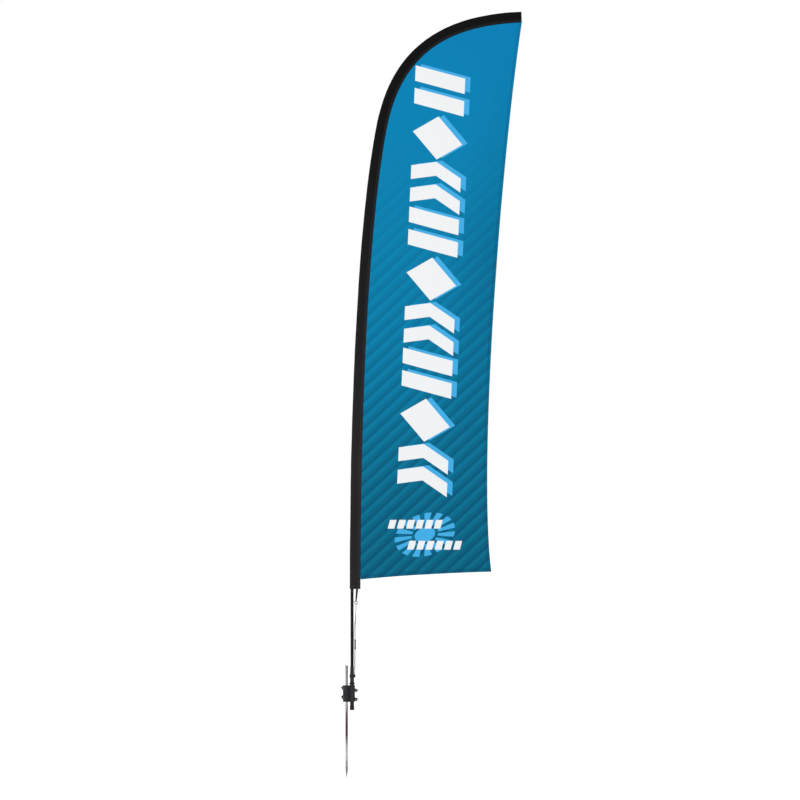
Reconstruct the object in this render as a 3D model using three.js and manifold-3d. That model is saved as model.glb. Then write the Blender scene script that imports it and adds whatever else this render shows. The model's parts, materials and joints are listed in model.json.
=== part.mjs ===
// Sail-shaped banner flag on a curved pole, standing on a clamp-on swivel spindle and a ground stake.
// Millimetres, +Z up. The origin is on the stake's axis at ground level, +X points to the flag.
import * as THREE from "three";
import { mergeVertices } from "three/addons/utils/BufferGeometryUtils.js";
import Module from "manifold-3d";

const wasm = await Module();
wasm.setup();

// ---- Driving dimensions -------------------------------------------------------------------------

// Clearances and facet counts
const GAP = 0.3; // between pieces that touch
const ROUND = 24; // sides of turned pieces
const TUBE_SIDES = 12; // sides of the pole's tubes and of small round pieces
const STEP_LENGTH = 48; // length of one facet along the pole's curve

// Ground stake
const STAKE_RADIUS = 4.75;
const STAKE_TOP = 186;
const STAKE_TIP = -252;
const STAKE_CONE = 29;
const STAKE_POINT_RADIUS = 0.8;
const STAKE_HEAD_HEIGHT = 9;
const STAKE_HEAD_OVERHANG = 0.85; // beyond the rod, all round
const STAKE_SPIGOT_RADIUS = 3;
const STAKE_SPIGOT_LENGTH = 6;

// Clamp: two moulded plates that grip the stake and the spindle tube side by side
const AXIS_SPACING = 21; // from the stake's axis to the swivel axis
const CLAMP_LOW = 45;
const CLAMP_HIGH = 108;
const CLAMP_SPLIT = 1.2; // open slit between the two plates
const PLATE_THICKNESS = 5;
const STAKE_BARREL_WALL = 3.4;
const SPINDLE_BARREL_WALL = 2.9;
const CLAMP_SIDE_MARGIN = 6; // plate beyond the stake's barrel, on the bolt side
const RIB_WIDTH = 3;
const RIB_HEIGHT = 4.4;
const BOLT_EDGE = 3.7; // from a barrel's outer side to the bolts beside it
const STAKE_SIDE_BOLT_HEIGHTS = [98.5, 62.5];
const SPINDLE_SIDE_BOLT_HEIGHTS = [88, 53];
const STAKE_SIDE_EAR_RADIUS = 8;
const SPINDLE_SIDE_EAR_RADIUS = 6.2;
const EAR_ROOT = 10.5; // half height of an ear where it meets the plate
const EAR_LENGTH = 8; // from an ear's root to its bolt

// Clamp bolts, washers and wing nuts
const BOLT_RADIUS = 2.4;
const BOLT_HEAD_RADIUS = 4.5;
const BOLT_HEAD_HEIGHT = 3;
const BOLT_PAST_NUT = 4.2;
const WASHER_RADIUS = 4.6;
const WASHER_THICKNESS = 1;
const NUT_RADIUS = 4.2;
const WING_ROOT = 3; // height of a wing where it leaves the hub
const WING_REACH = 12;
const WING_THICKNESS = 2.4;
const WING_RISE = 5;
const WING_CLEARANCE = 1; // between the sweep of the wings and the spindle barrel

// Swivel: fixed tube, two bushes and the turning post
const POST_RADIUS = 4.5;
const POST_TOP = 228;
const POST_BELOW_BUSH = 8;
const BUSH_WALL = 1.3;
const SPINDLE_WALL = 1.5;
const SPINDLE_BOTTOM = 15.3;
const SPINDLE_TOP = CLAMP_HIGH;
const END_CAP_WALL = 0.63;
const END_CAP_FLOOR = 2.5;
const END_CAP_HEIGHT = 13;
const BUSH_LENGTH = 14;
const BUSH_RECESS = 15; // from the tube's foot up to the lower bush
const BUSH_FLANGE = 3.4;
const THRUST_WASHER_THICKNESS = 1.7;
const COLLAR_OVERHANG = 4; // beyond the spindle tube, all round
const COLLAR_THICKNESS = 4;
const CLIP_GROOVE_DEPTH = 0.9;
const CLIP_OVERHANG = 1.4;
const CLIP_THICKNESS = 1;

// Pole: a foot socket, three sections that plug into each other, two ferrules and a tip cap
const TIP_RADIUS = 3;
const MIDDLE_WALL = 1.08; // at least this thick, and no thinner outside than the swivel post
const LOWER_WALL = 1.03;
const LOWER_LENGTH = 900;
const MIDDLE_LENGTH = 900;
const PLUG_IN = 60; // length of one section inside the next
const FERRULE_LENGTH = 32;
const FERRULE_WALL = 0.8;
const SOCKET_WALL = 1.65;
const SOCKET_RIM = 2;
const SOCKET_STRAIGHT = 32;
const SOCKET_TAPER = 34;
const SOCKET_TOP_WALL = 0.6;
const TIP_CAP_WALL = 1.4;
const TIP_CAP_LENGTH = 14;

// Centre line of the bent pole, in the XZ plane
const BEND_START = 480; // height where the pole leaves the vertical
const SHOULDER_DROP = 433.8; // from the tip down to the shoulder
const SHOULDER_REACH = 105; // sideways from the swivel axis
const SHOULDER_LEAN = 0.2; // radians from the vertical
const TIP_HEIGHT = 2734.8;
const TIP_REACH = 663;
const TIP_LEAN = 1.53;
const BEND_START_PULL = 900; // how far each end of a curve keeps its direction
const SHOULDER_PULL_BELOW = 296;
const SHOULDER_PULL_ABOVE = 353;
const TIP_PULL = 248;

// Sleeve: the pocket that the pole runs in
const SLEEVE_BOTTOM = 486;
const SLEEVE_EASE = 0.68; // between the lower ferrule and the pocket
const SLEEVE_CLOTH = 1;
const SLEEVE_SEAM = 33; // from the pole's centre line to the seam with the flag
const SEAM_HALF_THICKNESS = 1.6;
const POCKET_STOP = 3.5; // stitched margin between the pocket and the seam
const TIP_PATCH_LENGTH = 8;

// Flag: a printed panel on each face with a liner between them, and two hems
const PANEL_THICKNESS = 0.4;
const LAYER_GAP = 0.3;
const HEM_WIDTH = 12;
const FOOT_HEIGHT = 523; // height of the lower edge at the sleeve
const FOOT_RISE = 30; // how much higher the lower edge ends at the free corner
const FOOT_BOW = 0.6;
const CORNER_REACH = 566; // X of the lower free corner
const LEECH_TOP_PULL = [-76, -500]; // direction and strength of the free edge at its ends
const LEECH_FOOT_PULL = [-55, 443];
const LEECH_STEPS = 40;
const FOOT_STEPS = 12;

// Tension gear between the sleeve and the pole's foot
const ELASTIC_WIDTH = 6.5;
const ELASTIC_THICKNESS = 0.9;
const ELASTIC_TOP_X = 40.7;
const ELASTIC_SPREAD = 4.4; // half distance between the two ends where they are sewn to the sleeve
const RING_X = 36.8;
const RING_HEIGHT = 432.8;
const RING_RADIUS = 6.4;
const RING_WIRE = 1.1;
const EYE_CLEARANCE = 0.55;
const EYE_DROP = 1.5; // extra depth of the eye for the ring's curve
const CORD_RADIUS = 1.4;
const CORD_SIDES = 8;
const CRIMP_LOW = 250;
const CRIMP_HIGH = 288;
const CRIMP_WALL = 0.9;
const ANCHOR_LOW = 140;
const ANCHOR_HIGH = 150;
const ANCHOR_WALL = 1.5;
const ANCHOR_LUG_LENGTH = 3.5; // beyond the band
const ANCHOR_LUG_WIDTH = 9;

// Route of the tension cord: up from the lug, through the ring and back down beside the pole
const CORD_POINTS = [
  [32.3, -1.9, 150.3], [32.4, -1.9, 165], [32.8, -1.8, 190], [33.4, -1.7, 220], [33.9, -1.7, 250],
  [34.3, -1.7, 288], [34.8, -1.8, 330], [35.6, -1.9, 370], [36.3, -2.2, 400], [36.7, -3.4, 416],
  [36.8, -4.8, 422.5], [36.8, -4.6, 427], [36.8, -2.6, 430], [36.8, 0, 431], [36.8, 2.6, 430],
  [36.8, 4.6, 427], [36.8, 4.8, 422.5], [36.6, 3.4, 416], [36.1, 2.2, 400], [34.4, 1.9, 375],
  [30.9, 1.9, 345], [29.3, 2, 318], [29.2, 2, 280], [29.4, 2, 240], [29.8, 2, 210],
  [30.5, 2, 187], [31.2, 2, 167], [31.3, 2, 150.3],
];
const CORD_STEPS = 81;

// ---- Worked-out dimensions ----------------------------------------------------------------------

const bushBore = boreRadius(POST_RADIUS, ROUND);
const bushRadius = bushBore + BUSH_WALL;
const spindleBore = boreRadius(bushRadius, ROUND);
const spindleRadius = spindleBore + SPINDLE_WALL;
const lowerBushLow = SPINDLE_BOTTOM + BUSH_RECESS;
const bushFlangeTop = SPINDLE_TOP + GAP + BUSH_FLANGE;
const collarLow = bushFlangeTop + GAP + THRUST_WASHER_THICKNESS + GAP;
const collarHigh = collarLow + COLLAR_THICKNESS;
const postBottom = lowerBushLow - POST_BELOW_BUSH;
const clipHigh = lowerBushLow - GAP;
const clipLow = clipHigh - CLIP_THICKNESS;

const stakeBarrelRadius = boreRadius(STAKE_RADIUS, ROUND) + STAKE_BARREL_WALL;
const spindleBarrelRadius = boreRadius(spindleRadius, ROUND) + SPINDLE_BARREL_WALL;
const plateFace = CLAMP_SPLIT / 2 + PLATE_THICKNESS;
const boltHeights = [...STAKE_SIDE_BOLT_HEIGHTS, ...SPINDLE_SIDE_BOLT_HEIGHTS];
const boltPlaces = boltHeights.map((height, index) => {
  const onStakeSide = index < STAKE_SIDE_BOLT_HEIGHTS.length;
  const stakeSide = -stakeBarrelRadius - BOLT_EDGE;
  const spindleSide = AXIS_SPACING + spindleBarrelRadius + BOLT_EDGE;
  return { x: onStakeSide ? stakeSide : spindleSide, z: height, onStakeSide };
});
const washerLow = plateFace + GAP;
const nutLow = washerLow + WASHER_THICKNESS + GAP;
const wingLow = spindleBarrelRadius + WING_CLEARANCE;
const nutHigh = wingLow + WING_ROOT;

const middleBore = boreRadius(TIP_RADIUS, TUBE_SIDES);
const middleRadius = Math.max(POST_RADIUS, middleBore + MIDDLE_WALL);
const lowerBore = boreRadius(middleRadius, TUBE_SIDES); // takes the middle section and the post
const poleRadius = lowerBore + LOWER_WALL;
const footLow = collarHigh + GAP;
const poleLow = footLow + SOCKET_RIM + GAP;
const socketSeat = boreRadius(poleRadius, ROUND);
const socketRadius = socketSeat + SOCKET_WALL;

const pocketRadius = boreRadius(poleRadius, TUBE_SIDES) + FERRULE_WALL + SLEEVE_EASE;
const panelPitch = PANEL_THICKNESS + LAYER_GAP;
const flagHalfThickness = PANEL_THICKNESS / 2 + panelPitch;

// ---- Helpers ------------------------------------------------------------------------------------

// Radius of a many-sided bore that clears a shaft by GAP at its flats
function boreRadius(shaft, sides) {
  return (shaft + GAP) / Math.cos(Math.PI / sides);
}

function toSolid(geometry) {
  const plain = geometry.clone();
  plain.deleteAttribute("normal");
  plain.deleteAttribute("uv");
  const merged = mergeVertices(plain, 1e-4);
  const mesh = new wasm.Mesh({
    numProp: 3,
    vertProperties: new Float32Array(merged.attributes.position.array),
    triVerts: new Uint32Array(merged.index.array),
  });
  return new wasm.Manifold(mesh);
}

function fromSolid(solid) {
  const mesh = solid.getMesh();
  const geometry = new THREE.BufferGeometry();
  geometry.setAttribute("position", new THREE.BufferAttribute(mesh.vertProperties, 3));
  geometry.setIndex(new THREE.BufferAttribute(mesh.triVerts, 1));
  geometry.computeVertexNormals();
  return geometry;
}

// A profile of [radius, height] pairs turned about the vertical line at x
function turned(profile, x = 0, sides = ROUND) {
  const points = profile.map(([radius, height]) => new THREE.Vector2(radius, height));
  const geometry = new THREE.LatheGeometry(points, sides);
  geometry.rotateX(Math.PI / 2);
  geometry.translate(x, 0, 0);
  return geometry;
}

// A plain ring with a bore, turned about the vertical line at x
function ring(inner, outer, low, high, x = AXIS_SPACING, sides = ROUND) {
  return turned([[inner, low], [outer, low], [outer, high], [inner, high], [inner, low]], x, sides);
}

// An outline drawn in the XZ plane, given thickness between two values of Y
function slab(shape, yLow, yHigh, curveSegments = 12) {
  const geometry = new THREE.ExtrudeGeometry(shape, {
    depth: yHigh - yLow,
    bevelEnabled: false,
    curveSegments,
  });
  geometry.rotateX(Math.PI / 2);
  geometry.translate(0, yHigh, 0);
  return geometry;
}

function box(x0, x1, y0, y1, z0, z1) {
  const geometry = new THREE.BoxGeometry(x1 - x0, y1 - y0, z1 - z0);
  geometry.translate((x0 + x1) / 2, (y0 + y1) / 2, (z0 + z1) / 2);
  return geometry;
}

// A round bar along Y
function crossBar(radius, x, z, y0, y1, sides = ROUND) {
  const geometry = new THREE.CylinderGeometry(radius, radius, y1 - y0, sides);
  geometry.translate(x, (y0 + y1) / 2, z);
  return geometry;
}

// A round bar along Z
function uprightBar(radius, x, z0, z1, sides = ROUND) {
  const geometry = new THREE.CylinderGeometry(radius, radius, z1 - z0, sides);
  geometry.rotateX(Math.PI / 2);
  geometry.translate(x, 0, (z0 + z1) / 2);
  return geometry;
}

// ---- Materials and assembly ---------------------------------------------------------------------

const finishes = {
  steel: { color: 0x8f8f93, roughness: 0.35, metalness: 1 },
  brightSteel: { color: 0xc4c6c8, roughness: 0.25, metalness: 1 },
  blackPlastic: { color: 0x1c1c20, roughness: 0.5, metalness: 0 },
  blackPaint: { color: 0x101012, roughness: 0.35, metalness: 0.2 },
  whitePlastic: { color: 0xe8e8e4, roughness: 0.5, metalness: 0 },
  darkFibreglass: { color: 0x0c0c0e, roughness: 0.4, metalness: 0 },
  sleeveCloth: { color: 0x26262a, roughness: 0.85, metalness: 0 },
  printedCloth: { color: 0x01779f, roughness: 0.7, metalness: 0 },
  linerCloth: { color: 0x3a3c40, roughness: 0.9, metalness: 0 },
  elastic: { color: 0x0a0a0a, roughness: 0.9, metalness: 0 },
  cord: { color: 0xc6c9c8, roughness: 0.7, metalness: 0 },
  rubber: { color: 0x151517, roughness: 0.8, metalness: 0 },
};

const group = new THREE.Group();

function addPart(name, geometry, finish) {
  const mesh = new THREE.Mesh(geometry, new THREE.MeshStandardMaterial(finishes[finish]));
  mesh.name = name;
  group.add(mesh);
  return mesh;
}

// ---- Ground stake -------------------------------------------------------------------------------

function addStake() {
  const shoulder = STAKE_TOP - STAKE_HEAD_HEIGHT - GAP;
  const spigotTop = shoulder + STAKE_SPIGOT_LENGTH;
  addPart("stake_rod", turned([
    [0, STAKE_TIP],
    [STAKE_POINT_RADIUS, STAKE_TIP],
    [STAKE_RADIUS, STAKE_TIP + STAKE_CONE],
    [STAKE_RADIUS, shoulder],
    [STAKE_SPIGOT_RADIUS, shoulder],
    [STAKE_SPIGOT_RADIUS, spigotTop],
    [0, spigotTop],
  ]), "steel");

  const bore = boreRadius(STAKE_SPIGOT_RADIUS, ROUND);
  const headLow = STAKE_TOP - STAKE_HEAD_HEIGHT;
  const headRadius = STAKE_RADIUS + STAKE_HEAD_OVERHANG;
  const edge = 1;
  addPart("stake_head", turned([
    [0, spigotTop + GAP],
    [bore, spigotTop + GAP],
    [bore, headLow],
    [headRadius, headLow],
    [headRadius, STAKE_TOP - edge],
    [headRadius - edge, STAKE_TOP],
    [0, STAKE_TOP],
  ]), "steel");
}

// ---- Clamp --------------------------------------------------------------------------------------

// One ear: wide where it leaves the plate, round at its bolt
function earShape(place, rootX) {
  const radius = place.onStakeSide ? STAKE_SIDE_EAR_RADIUS : SPINDLE_SIDE_EAR_RADIUS;
  const shape = new THREE.Shape();
  shape.moveTo(rootX, place.z - EAR_ROOT);
  if (place.onStakeSide) {
    shape.lineTo(rootX, place.z + EAR_ROOT);
    shape.absarc(place.x, place.z, radius, Math.PI / 2, 1.5 * Math.PI, false);
  } else {
    shape.absarc(place.x, place.z, radius, -Math.PI / 2, Math.PI / 2, false);
    shape.lineTo(rootX, place.z + EAR_ROOT);
  }
  shape.closePath();
  return shape;
}

// The front plate lies on the -Y side, the back plate is its mirror image
function clampPlate(side) {
  const past = 1;
  const xLow = -stakeBarrelRadius - CLAMP_SIDE_MARGIN;
  const xHigh = AXIS_SPACING + spindleBarrelRadius;
  const low = CLAMP_LOW - past;
  const high = CLAMP_HIGH + past;
  const ribX = (stakeBarrelRadius + AXIS_SPACING - spindleBarrelRadius) / 2;
  const ribFace = plateFace + RIB_HEIGHT;

  let plate = toSolid(box(xLow, xHigh, -plateFace, plateFace, low, high));
  const additions = [
    uprightBar(stakeBarrelRadius, 0, low, high),
    uprightBar(spindleBarrelRadius, AXIS_SPACING, low, high),
    box(ribX - RIB_WIDTH / 2, ribX + RIB_WIDTH / 2, -ribFace, ribFace, low, high),
    ...boltPlaces.map((place) => {
      const rootX = place.x + (place.onStakeSide ? EAR_LENGTH : -EAR_LENGTH);
      return slab(earShape(place, rootX), -plateFace, plateFace, 8);
    }),
  ];
  for (const addition of additions) {
    plate = plate.add(toSolid(addition));
  }

  const cuts = [
    uprightBar(boreRadius(STAKE_RADIUS, ROUND), 0, low - past, high + past),
    uprightBar(boreRadius(spindleRadius, ROUND), AXIS_SPACING, low - past, high + past),
    ...boltPlaces.map((place) => crossBar(
      boreRadius(BOLT_RADIUS, TUBE_SIDES), place.x, place.z, -ribFace, ribFace, TUBE_SIDES,
    )),
  ];
  for (const cut of cuts) {
    plate = plate.subtract(toSolid(cut));
  }

  const reach = 2 * ribFace;
  const inner = (side * CLAMP_SPLIT) / 2;
  const outer = side * reach;
  const half = box(
    -3 * reach, AXIS_SPACING + 3 * reach,
    Math.min(inner, outer), Math.max(inner, outer),
    CLAMP_LOW, CLAMP_HIGH,
  );
  return fromSolid(plate.intersect(toSolid(half)));
}

// A bolt along Y with a domed head on the front plate
function boltGeometry(place) {
  const headLow = plateFace + GAP;
  const headEdge = 0.8;
  const geometry = turned([
    [0, -headLow - BOLT_HEAD_HEIGHT],
    [BOLT_HEAD_RADIUS * 0.6, -headLow - BOLT_HEAD_HEIGHT * 0.85],
    [BOLT_HEAD_RADIUS, -headLow - headEdge],
    [BOLT_HEAD_RADIUS, -headLow],
    [BOLT_RADIUS, -headLow],
    [BOLT_RADIUS, nutHigh + BOLT_PAST_NUT],
    [0, nutHigh + BOLT_PAST_NUT],
  ], 0, TUBE_SIDES);
  geometry.rotateX(-Math.PI / 2);
  geometry.translate(place.x, 0, place.z);
  return geometry;
}

function washerGeometry(place) {
  const bore = boreRadius(BOLT_RADIUS, TUBE_SIDES);
  const geometry = ring(bore, WASHER_RADIUS, washerLow, washerLow + WASHER_THICKNESS, 0, TUBE_SIDES);
  geometry.rotateX(-Math.PI / 2);
  geometry.translate(place.x, 0, place.z);
  return geometry;
}

// A wing nut: a tall hub with two raised wings that clear the clamp's barrels
function wingNutGeometry(place) {
  const hub = uprightBar(NUT_RADIUS, 0, nutLow, nutHigh, TUBE_SIDES);
  const wingTip = nutHigh + WING_RISE;
  const outline = new THREE.Shape();
  outline.moveTo(0, wingLow);
  outline.lineTo(WING_REACH - 2, wingLow + 1);
  outline.quadraticCurveTo(WING_REACH + 1, wingTip, WING_REACH - 3, wingTip);
  outline.lineTo(NUT_RADIUS, nutHigh - 1);
  outline.lineTo(0, nutHigh - 1);
  outline.closePath();
  const wing = slab(outline, -WING_THICKNESS / 2, WING_THICKNESS / 2, 6);
  const otherWing = wing.clone().rotateZ(Math.PI);
  const bore = boreRadius(BOLT_RADIUS, TUBE_SIDES);
  const hole = uprightBar(bore, 0, nutLow - 1, wingTip + 1, TUBE_SIDES);
  const solid = toSolid(hub).add(toSolid(wing)).add(toSolid(otherWing)).subtract(toSolid(hole));
  const geometry = fromSolid(solid);
  geometry.rotateX(-Math.PI / 2);
  geometry.translate(place.x, 0, place.z);
  return geometry;
}

function addClamp() {
  addPart("clamp_front_plate", clampPlate(-1), "blackPlastic");
  addPart("clamp_back_plate", clampPlate(1), "blackPlastic");
  boltPlaces.forEach((place, index) => {
    addPart(`clamp_bolt_${index + 1}`, boltGeometry(place), "brightSteel");
    addPart(`clamp_washer_${index + 1}`, washerGeometry(place), "brightSteel");
    addPart(`wing_nut_${index + 1}`, wingNutGeometry(place), "blackPlastic");
  });
}

// ---- Swivel -------------------------------------------------------------------------------------

function addSwivel() {
  addPart("spindle_tube", ring(spindleBore, spindleRadius, SPINDLE_BOTTOM, SPINDLE_TOP),
    "blackPaint");
  addPart("lower_bush", ring(bushBore, bushRadius, lowerBushLow, lowerBushLow + BUSH_LENGTH),
    "whitePlastic");
  addPart("upper_bush", turned([
    [bushBore, SPINDLE_TOP - BUSH_LENGTH],
    [bushRadius, SPINDLE_TOP - BUSH_LENGTH],
    [bushRadius, SPINDLE_TOP + GAP],
    [spindleRadius, SPINDLE_TOP + GAP],
    [spindleRadius, bushFlangeTop],
    [bushBore, bushFlangeTop],
    [bushBore, SPINDLE_TOP - BUSH_LENGTH],
  ], AXIS_SPACING), "blackPlastic");

  const capBore = boreRadius(spindleRadius, ROUND);
  const capRadius = capBore + END_CAP_WALL;
  const capInside = SPINDLE_BOTTOM - GAP;
  const capLow = capInside - END_CAP_FLOOR;
  const capHigh = capLow + END_CAP_HEIGHT;
  const capEdge = 2.5;
  addPart("spindle_end_cap", turned([
    [0, capLow],
    [capRadius - capEdge, capLow],
    [capRadius - capEdge * 0.3, capLow + capEdge * 0.3],
    [capRadius, capLow + capEdge],
    [capRadius, capHigh],
    [capBore, capHigh],
    [capBore, capInside],
    [0, capInside],
  ], AXIS_SPACING), "rubber");

  const grooveRadius = POST_RADIUS - CLIP_GROOVE_DEPTH;
  const postEdge = 1.2;
  addPart("swivel_post", turned([
    [0, postBottom],
    [POST_RADIUS, postBottom],
    [POST_RADIUS, clipLow - GAP],
    [grooveRadius, clipLow - GAP],
    [grooveRadius, clipHigh + GAP],
    [POST_RADIUS, clipHigh + GAP],
    [POST_RADIUS, POST_TOP - postEdge],
    [POST_RADIUS - postEdge, POST_TOP],
    [0, POST_TOP],
  ], AXIS_SPACING), "steel");
  addPart("retaining_clip", ring(boreRadius(grooveRadius, ROUND), POST_RADIUS + CLIP_OVERHANG,
    clipLow, clipHigh), "brightSteel");

  const thrustLow = bushFlangeTop + GAP;
  addPart("thrust_washer", ring(bushBore, spindleRadius, thrustLow,
    thrustLow + THRUST_WASHER_THICKNESS), "blackPlastic");

  const collarRadius = spindleRadius + COLLAR_OVERHANG;
  const collarEdge = 1.2;
  addPart("swivel_collar", turned([
    [bushBore, collarLow],
    [collarRadius - collarEdge, collarLow],
    [collarRadius, collarLow + collarEdge],
    [collarRadius, collarHigh - collarEdge],
    [collarRadius - collarEdge, collarHigh],
    [bushBore, collarHigh],
    [bushBore, collarLow],
  ], AXIS_SPACING), "blackPaint");
}

// ---- Pole ---------------------------------------------------------------------------------------

function polePath() {
  const at = (x, z) => new THREE.Vector3(x, 0, z);
  const along = (point, lean, distance) =>
    at(point.x + Math.sin(lean) * distance, point.z + Math.cos(lean) * distance);
  const foot = at(AXIS_SPACING, poleLow);
  const bend = at(AXIS_SPACING, BEND_START);
  const shoulder = at(AXIS_SPACING + SHOULDER_REACH, TIP_HEIGHT - SHOULDER_DROP);
  const tip = at(AXIS_SPACING + TIP_REACH, TIP_HEIGHT);

  const path = new THREE.CurvePath();
  path.add(new THREE.LineCurve3(foot, bend));
  path.add(new THREE.CubicBezierCurve3(
    bend, along(bend, 0, BEND_START_PULL),
    along(shoulder, SHOULDER_LEAN, -SHOULDER_PULL_BELOW), shoulder,
  ));
  path.add(new THREE.CubicBezierCurve3(
    shoulder, along(shoulder, SHOULDER_LEAN, SHOULDER_PULL_ABOVE),
    along(tip, TIP_LEAN, -TIP_PULL), tip,
  ));
  return path;
}

const centreLine = polePath();
const centreLength = centreLine.getLength();

// The stretch of the pole's centre line between two lengths measured from its foot
class Stretch extends THREE.Curve {
  constructor(from, to) {
    super();
    this.from = from / centreLength;
    this.to = to / centreLength;
  }

  getPoint(t) {
    return centreLine.getPoint(THREE.MathUtils.lerp(this.from, this.to, t));
  }
}

function stepsBetween(from, to) {
  return Math.max(1, Math.round((to - from) / STEP_LENGTH));
}

// A section swept along a stretch: its first axis points to -Y, its second to the flag's side
function swept(shape, from, to) {
  return new THREE.ExtrudeGeometry(shape, {
    steps: stepsBetween(from, to),
    extrudePath: new Stretch(from, to),
    curveSegments: 1,
  });
}

function circlePoints(radius, sides) {
  const points = [];
  for (let index = 0; index < sides; index += 1) {
    const angle = (2 * Math.PI * index) / sides;
    points.push(new THREE.Vector2(radius * Math.cos(angle), radius * Math.sin(angle)));
  }
  return points;
}

function tubeSection(outer, inner = 0) {
  const shape = new THREE.Shape(circlePoints(outer, TUBE_SIDES));
  if (inner > 0) {
    shape.holes.push(new THREE.Path(circlePoints(inner, TUBE_SIDES)));
  }
  return shape;
}

const lowerEnd = LOWER_LENGTH;
const middleEnd = lowerEnd + MIDDLE_LENGTH;
const tipCapInside = TIP_CAP_WALL + GAP;
const sleeveStart = SLEEVE_BOTTOM - poleLow;
const sleeveEnd = centreLength - TIP_PATCH_LENGTH;
const tipCapEnd = sleeveEnd; // the cap's closed end, just short of the patch
const poleEnd = tipCapEnd - tipCapInside;

function addPoleFoot() {
  const taperLow = footLow + SOCKET_STRAIGHT;
  const top = taperLow + SOCKET_TAPER;
  addPart("pole_foot_socket", turned([
    [bushBore, footLow],
    [socketRadius, footLow],
    [socketRadius, taperLow],
    [socketSeat + SOCKET_TOP_WALL, top],
    [socketSeat, top],
    [socketSeat, footLow + SOCKET_RIM],
    [bushBore, footLow + SOCKET_RIM],
    [bushBore, footLow],
  ], AXIS_SPACING), "blackPlastic");
}

function addPole() {
  addPart("pole_lower", swept(tubeSection(poleRadius, lowerBore), 0, lowerEnd), "darkFibreglass");
  addPart("pole_middle", swept(tubeSection(middleRadius, middleBore), lowerEnd - PLUG_IN,
    middleEnd), "darkFibreglass");
  addPart("pole_tip", swept(tubeSection(TIP_RADIUS), middleEnd - PLUG_IN, poleEnd),
    "darkFibreglass");

  const ferrules = [
    ["lower_ferrule", poleRadius, lowerEnd],
    ["upper_ferrule", middleRadius, middleEnd],
  ];
  for (const [name, radius, mouth] of ferrules) {
    const bore = boreRadius(radius, TUBE_SIDES);
    addPart(name, swept(tubeSection(bore + FERRULE_WALL, bore), mouth - FERRULE_LENGTH, mouth),
      "brightSteel");
  }
}

// A cup over the end of the pole, turned to the direction the pole ends in
function addTipCap() {
  const bore = boreRadius(TIP_RADIUS, TUBE_SIDES);
  const outer = bore + TIP_CAP_WALL;
  const geometry = turned([
    [0, -TIP_CAP_WALL],
    [bore, -TIP_CAP_WALL],
    [bore, -TIP_CAP_LENGTH],
    [outer, -TIP_CAP_LENGTH],
    [outer, -TIP_CAP_WALL],
    [outer - TIP_CAP_WALL, -GAP],
    [0, -GAP],
  ], 0, TUBE_SIDES);
  const end = centreLine.getPoint(tipCapEnd / centreLength);
  const before = centreLine.getPoint((tipCapEnd - TIP_CAP_LENGTH) / centreLength);
  const lean = Math.atan2(end.x - before.x, end.z - before.z);
  geometry.rotateY(lean);
  geometry.translate(end.x, 0, end.z);
  addPart("pole_tip_cap", geometry, "rubber");
}

// ---- Sleeve -------------------------------------------------------------------------------------

// A drop-shaped outline: round about the pole, running flat into the seam
function dropOutline(radius, seam, halfThickness, segments) {
  const lineAngle = Math.acos((radius - halfThickness) / seam);
  const first = Math.PI / 2 - (Math.PI / 2 - lineAngle);
  const points = [];
  for (let index = 0; index <= segments; index += 1) {
    const angle = first + ((2 * Math.PI - 2 * first) * index) / segments;
    points.push(new THREE.Vector2(-radius * Math.sin(angle), radius * Math.cos(angle)));
  }
  points.push(new THREE.Vector2(halfThickness, seam));
  points.push(new THREE.Vector2(-halfThickness, seam));
  return points;
}

function sleeveSection(withPocket) {
  const outline = dropOutline(pocketRadius + SLEEVE_CLOTH, SLEEVE_SEAM, SEAM_HALF_THICKNESS, 10);
  const shape = new THREE.Shape(outline);
  if (withPocket) {
    const pocket = dropOutline(pocketRadius, SLEEVE_SEAM - POCKET_STOP,
      SEAM_HALF_THICKNESS - SLEEVE_CLOTH, 10);
    shape.holes.push(new THREE.Path(pocket));
  }
  return shape;
}

function addSleeve() {
  addPart("sleeve", swept(sleeveSection(true), sleeveStart, sleeveEnd), "sleeveCloth");
  addPart("sleeve_tip_patch", swept(sleeveSection(false), sleeveEnd + GAP, centreLength),
    "sleeveCloth");
}

// ---- Flag ---------------------------------------------------------------------------------------

// The sleeve's seam edge, moved a little away from the sleeve, as points from low to high.
// Its points lie beside the sleeve's own facets.
function seamEdge(clearance, lowest) {
  const points = [];
  const steps = stepsBetween(sleeveStart, sleeveEnd);
  const stretch = new Stretch(sleeveStart, sleeveEnd);
  for (let index = 0; index <= steps; index += 1) {
    const point = stretch.getPointAt(index / steps);
    const tangent = stretch.getTangentAt(index / steps);
    const x = point.x + tangent.z * (SLEEVE_SEAM + clearance);
    const z = point.z - tangent.x * (SLEEVE_SEAM + clearance);
    if (z > lowest) {
      points.push(new THREE.Vector2(x, z));
    }
  }
  const beyond = new THREE.Vector2().subVectors(points.at(-1), points.at(-2));
  points.push(beyond.setLength(TIP_PATCH_LENGTH).add(points.at(-1)));
  return points;
}

// Height of the seam edge at x, near the tip
function seamHeight(x) {
  const points = seamEdge(GAP, FOOT_HEIGHT);
  const next = Math.max(1, points.findIndex((point) => point.x >= x));
  const share = (x - points[next - 1].x) / (points[next].x - points[next - 1].x);
  return THREE.MathUtils.lerp(points[next - 1].y, points[next].y, share);
}

// Height of the lower edge at x
function footHeight(x) {
  const start = AXIS_SPACING + SLEEVE_SEAM;
  const share = (x - start) / (CORNER_REACH - start);
  return FOOT_HEIGHT + FOOT_RISE * share * (1 + FOOT_BOW * (1 - share));
}

const seamTip = seamEdge(GAP, FOOT_HEIGHT).at(-1);

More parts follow.
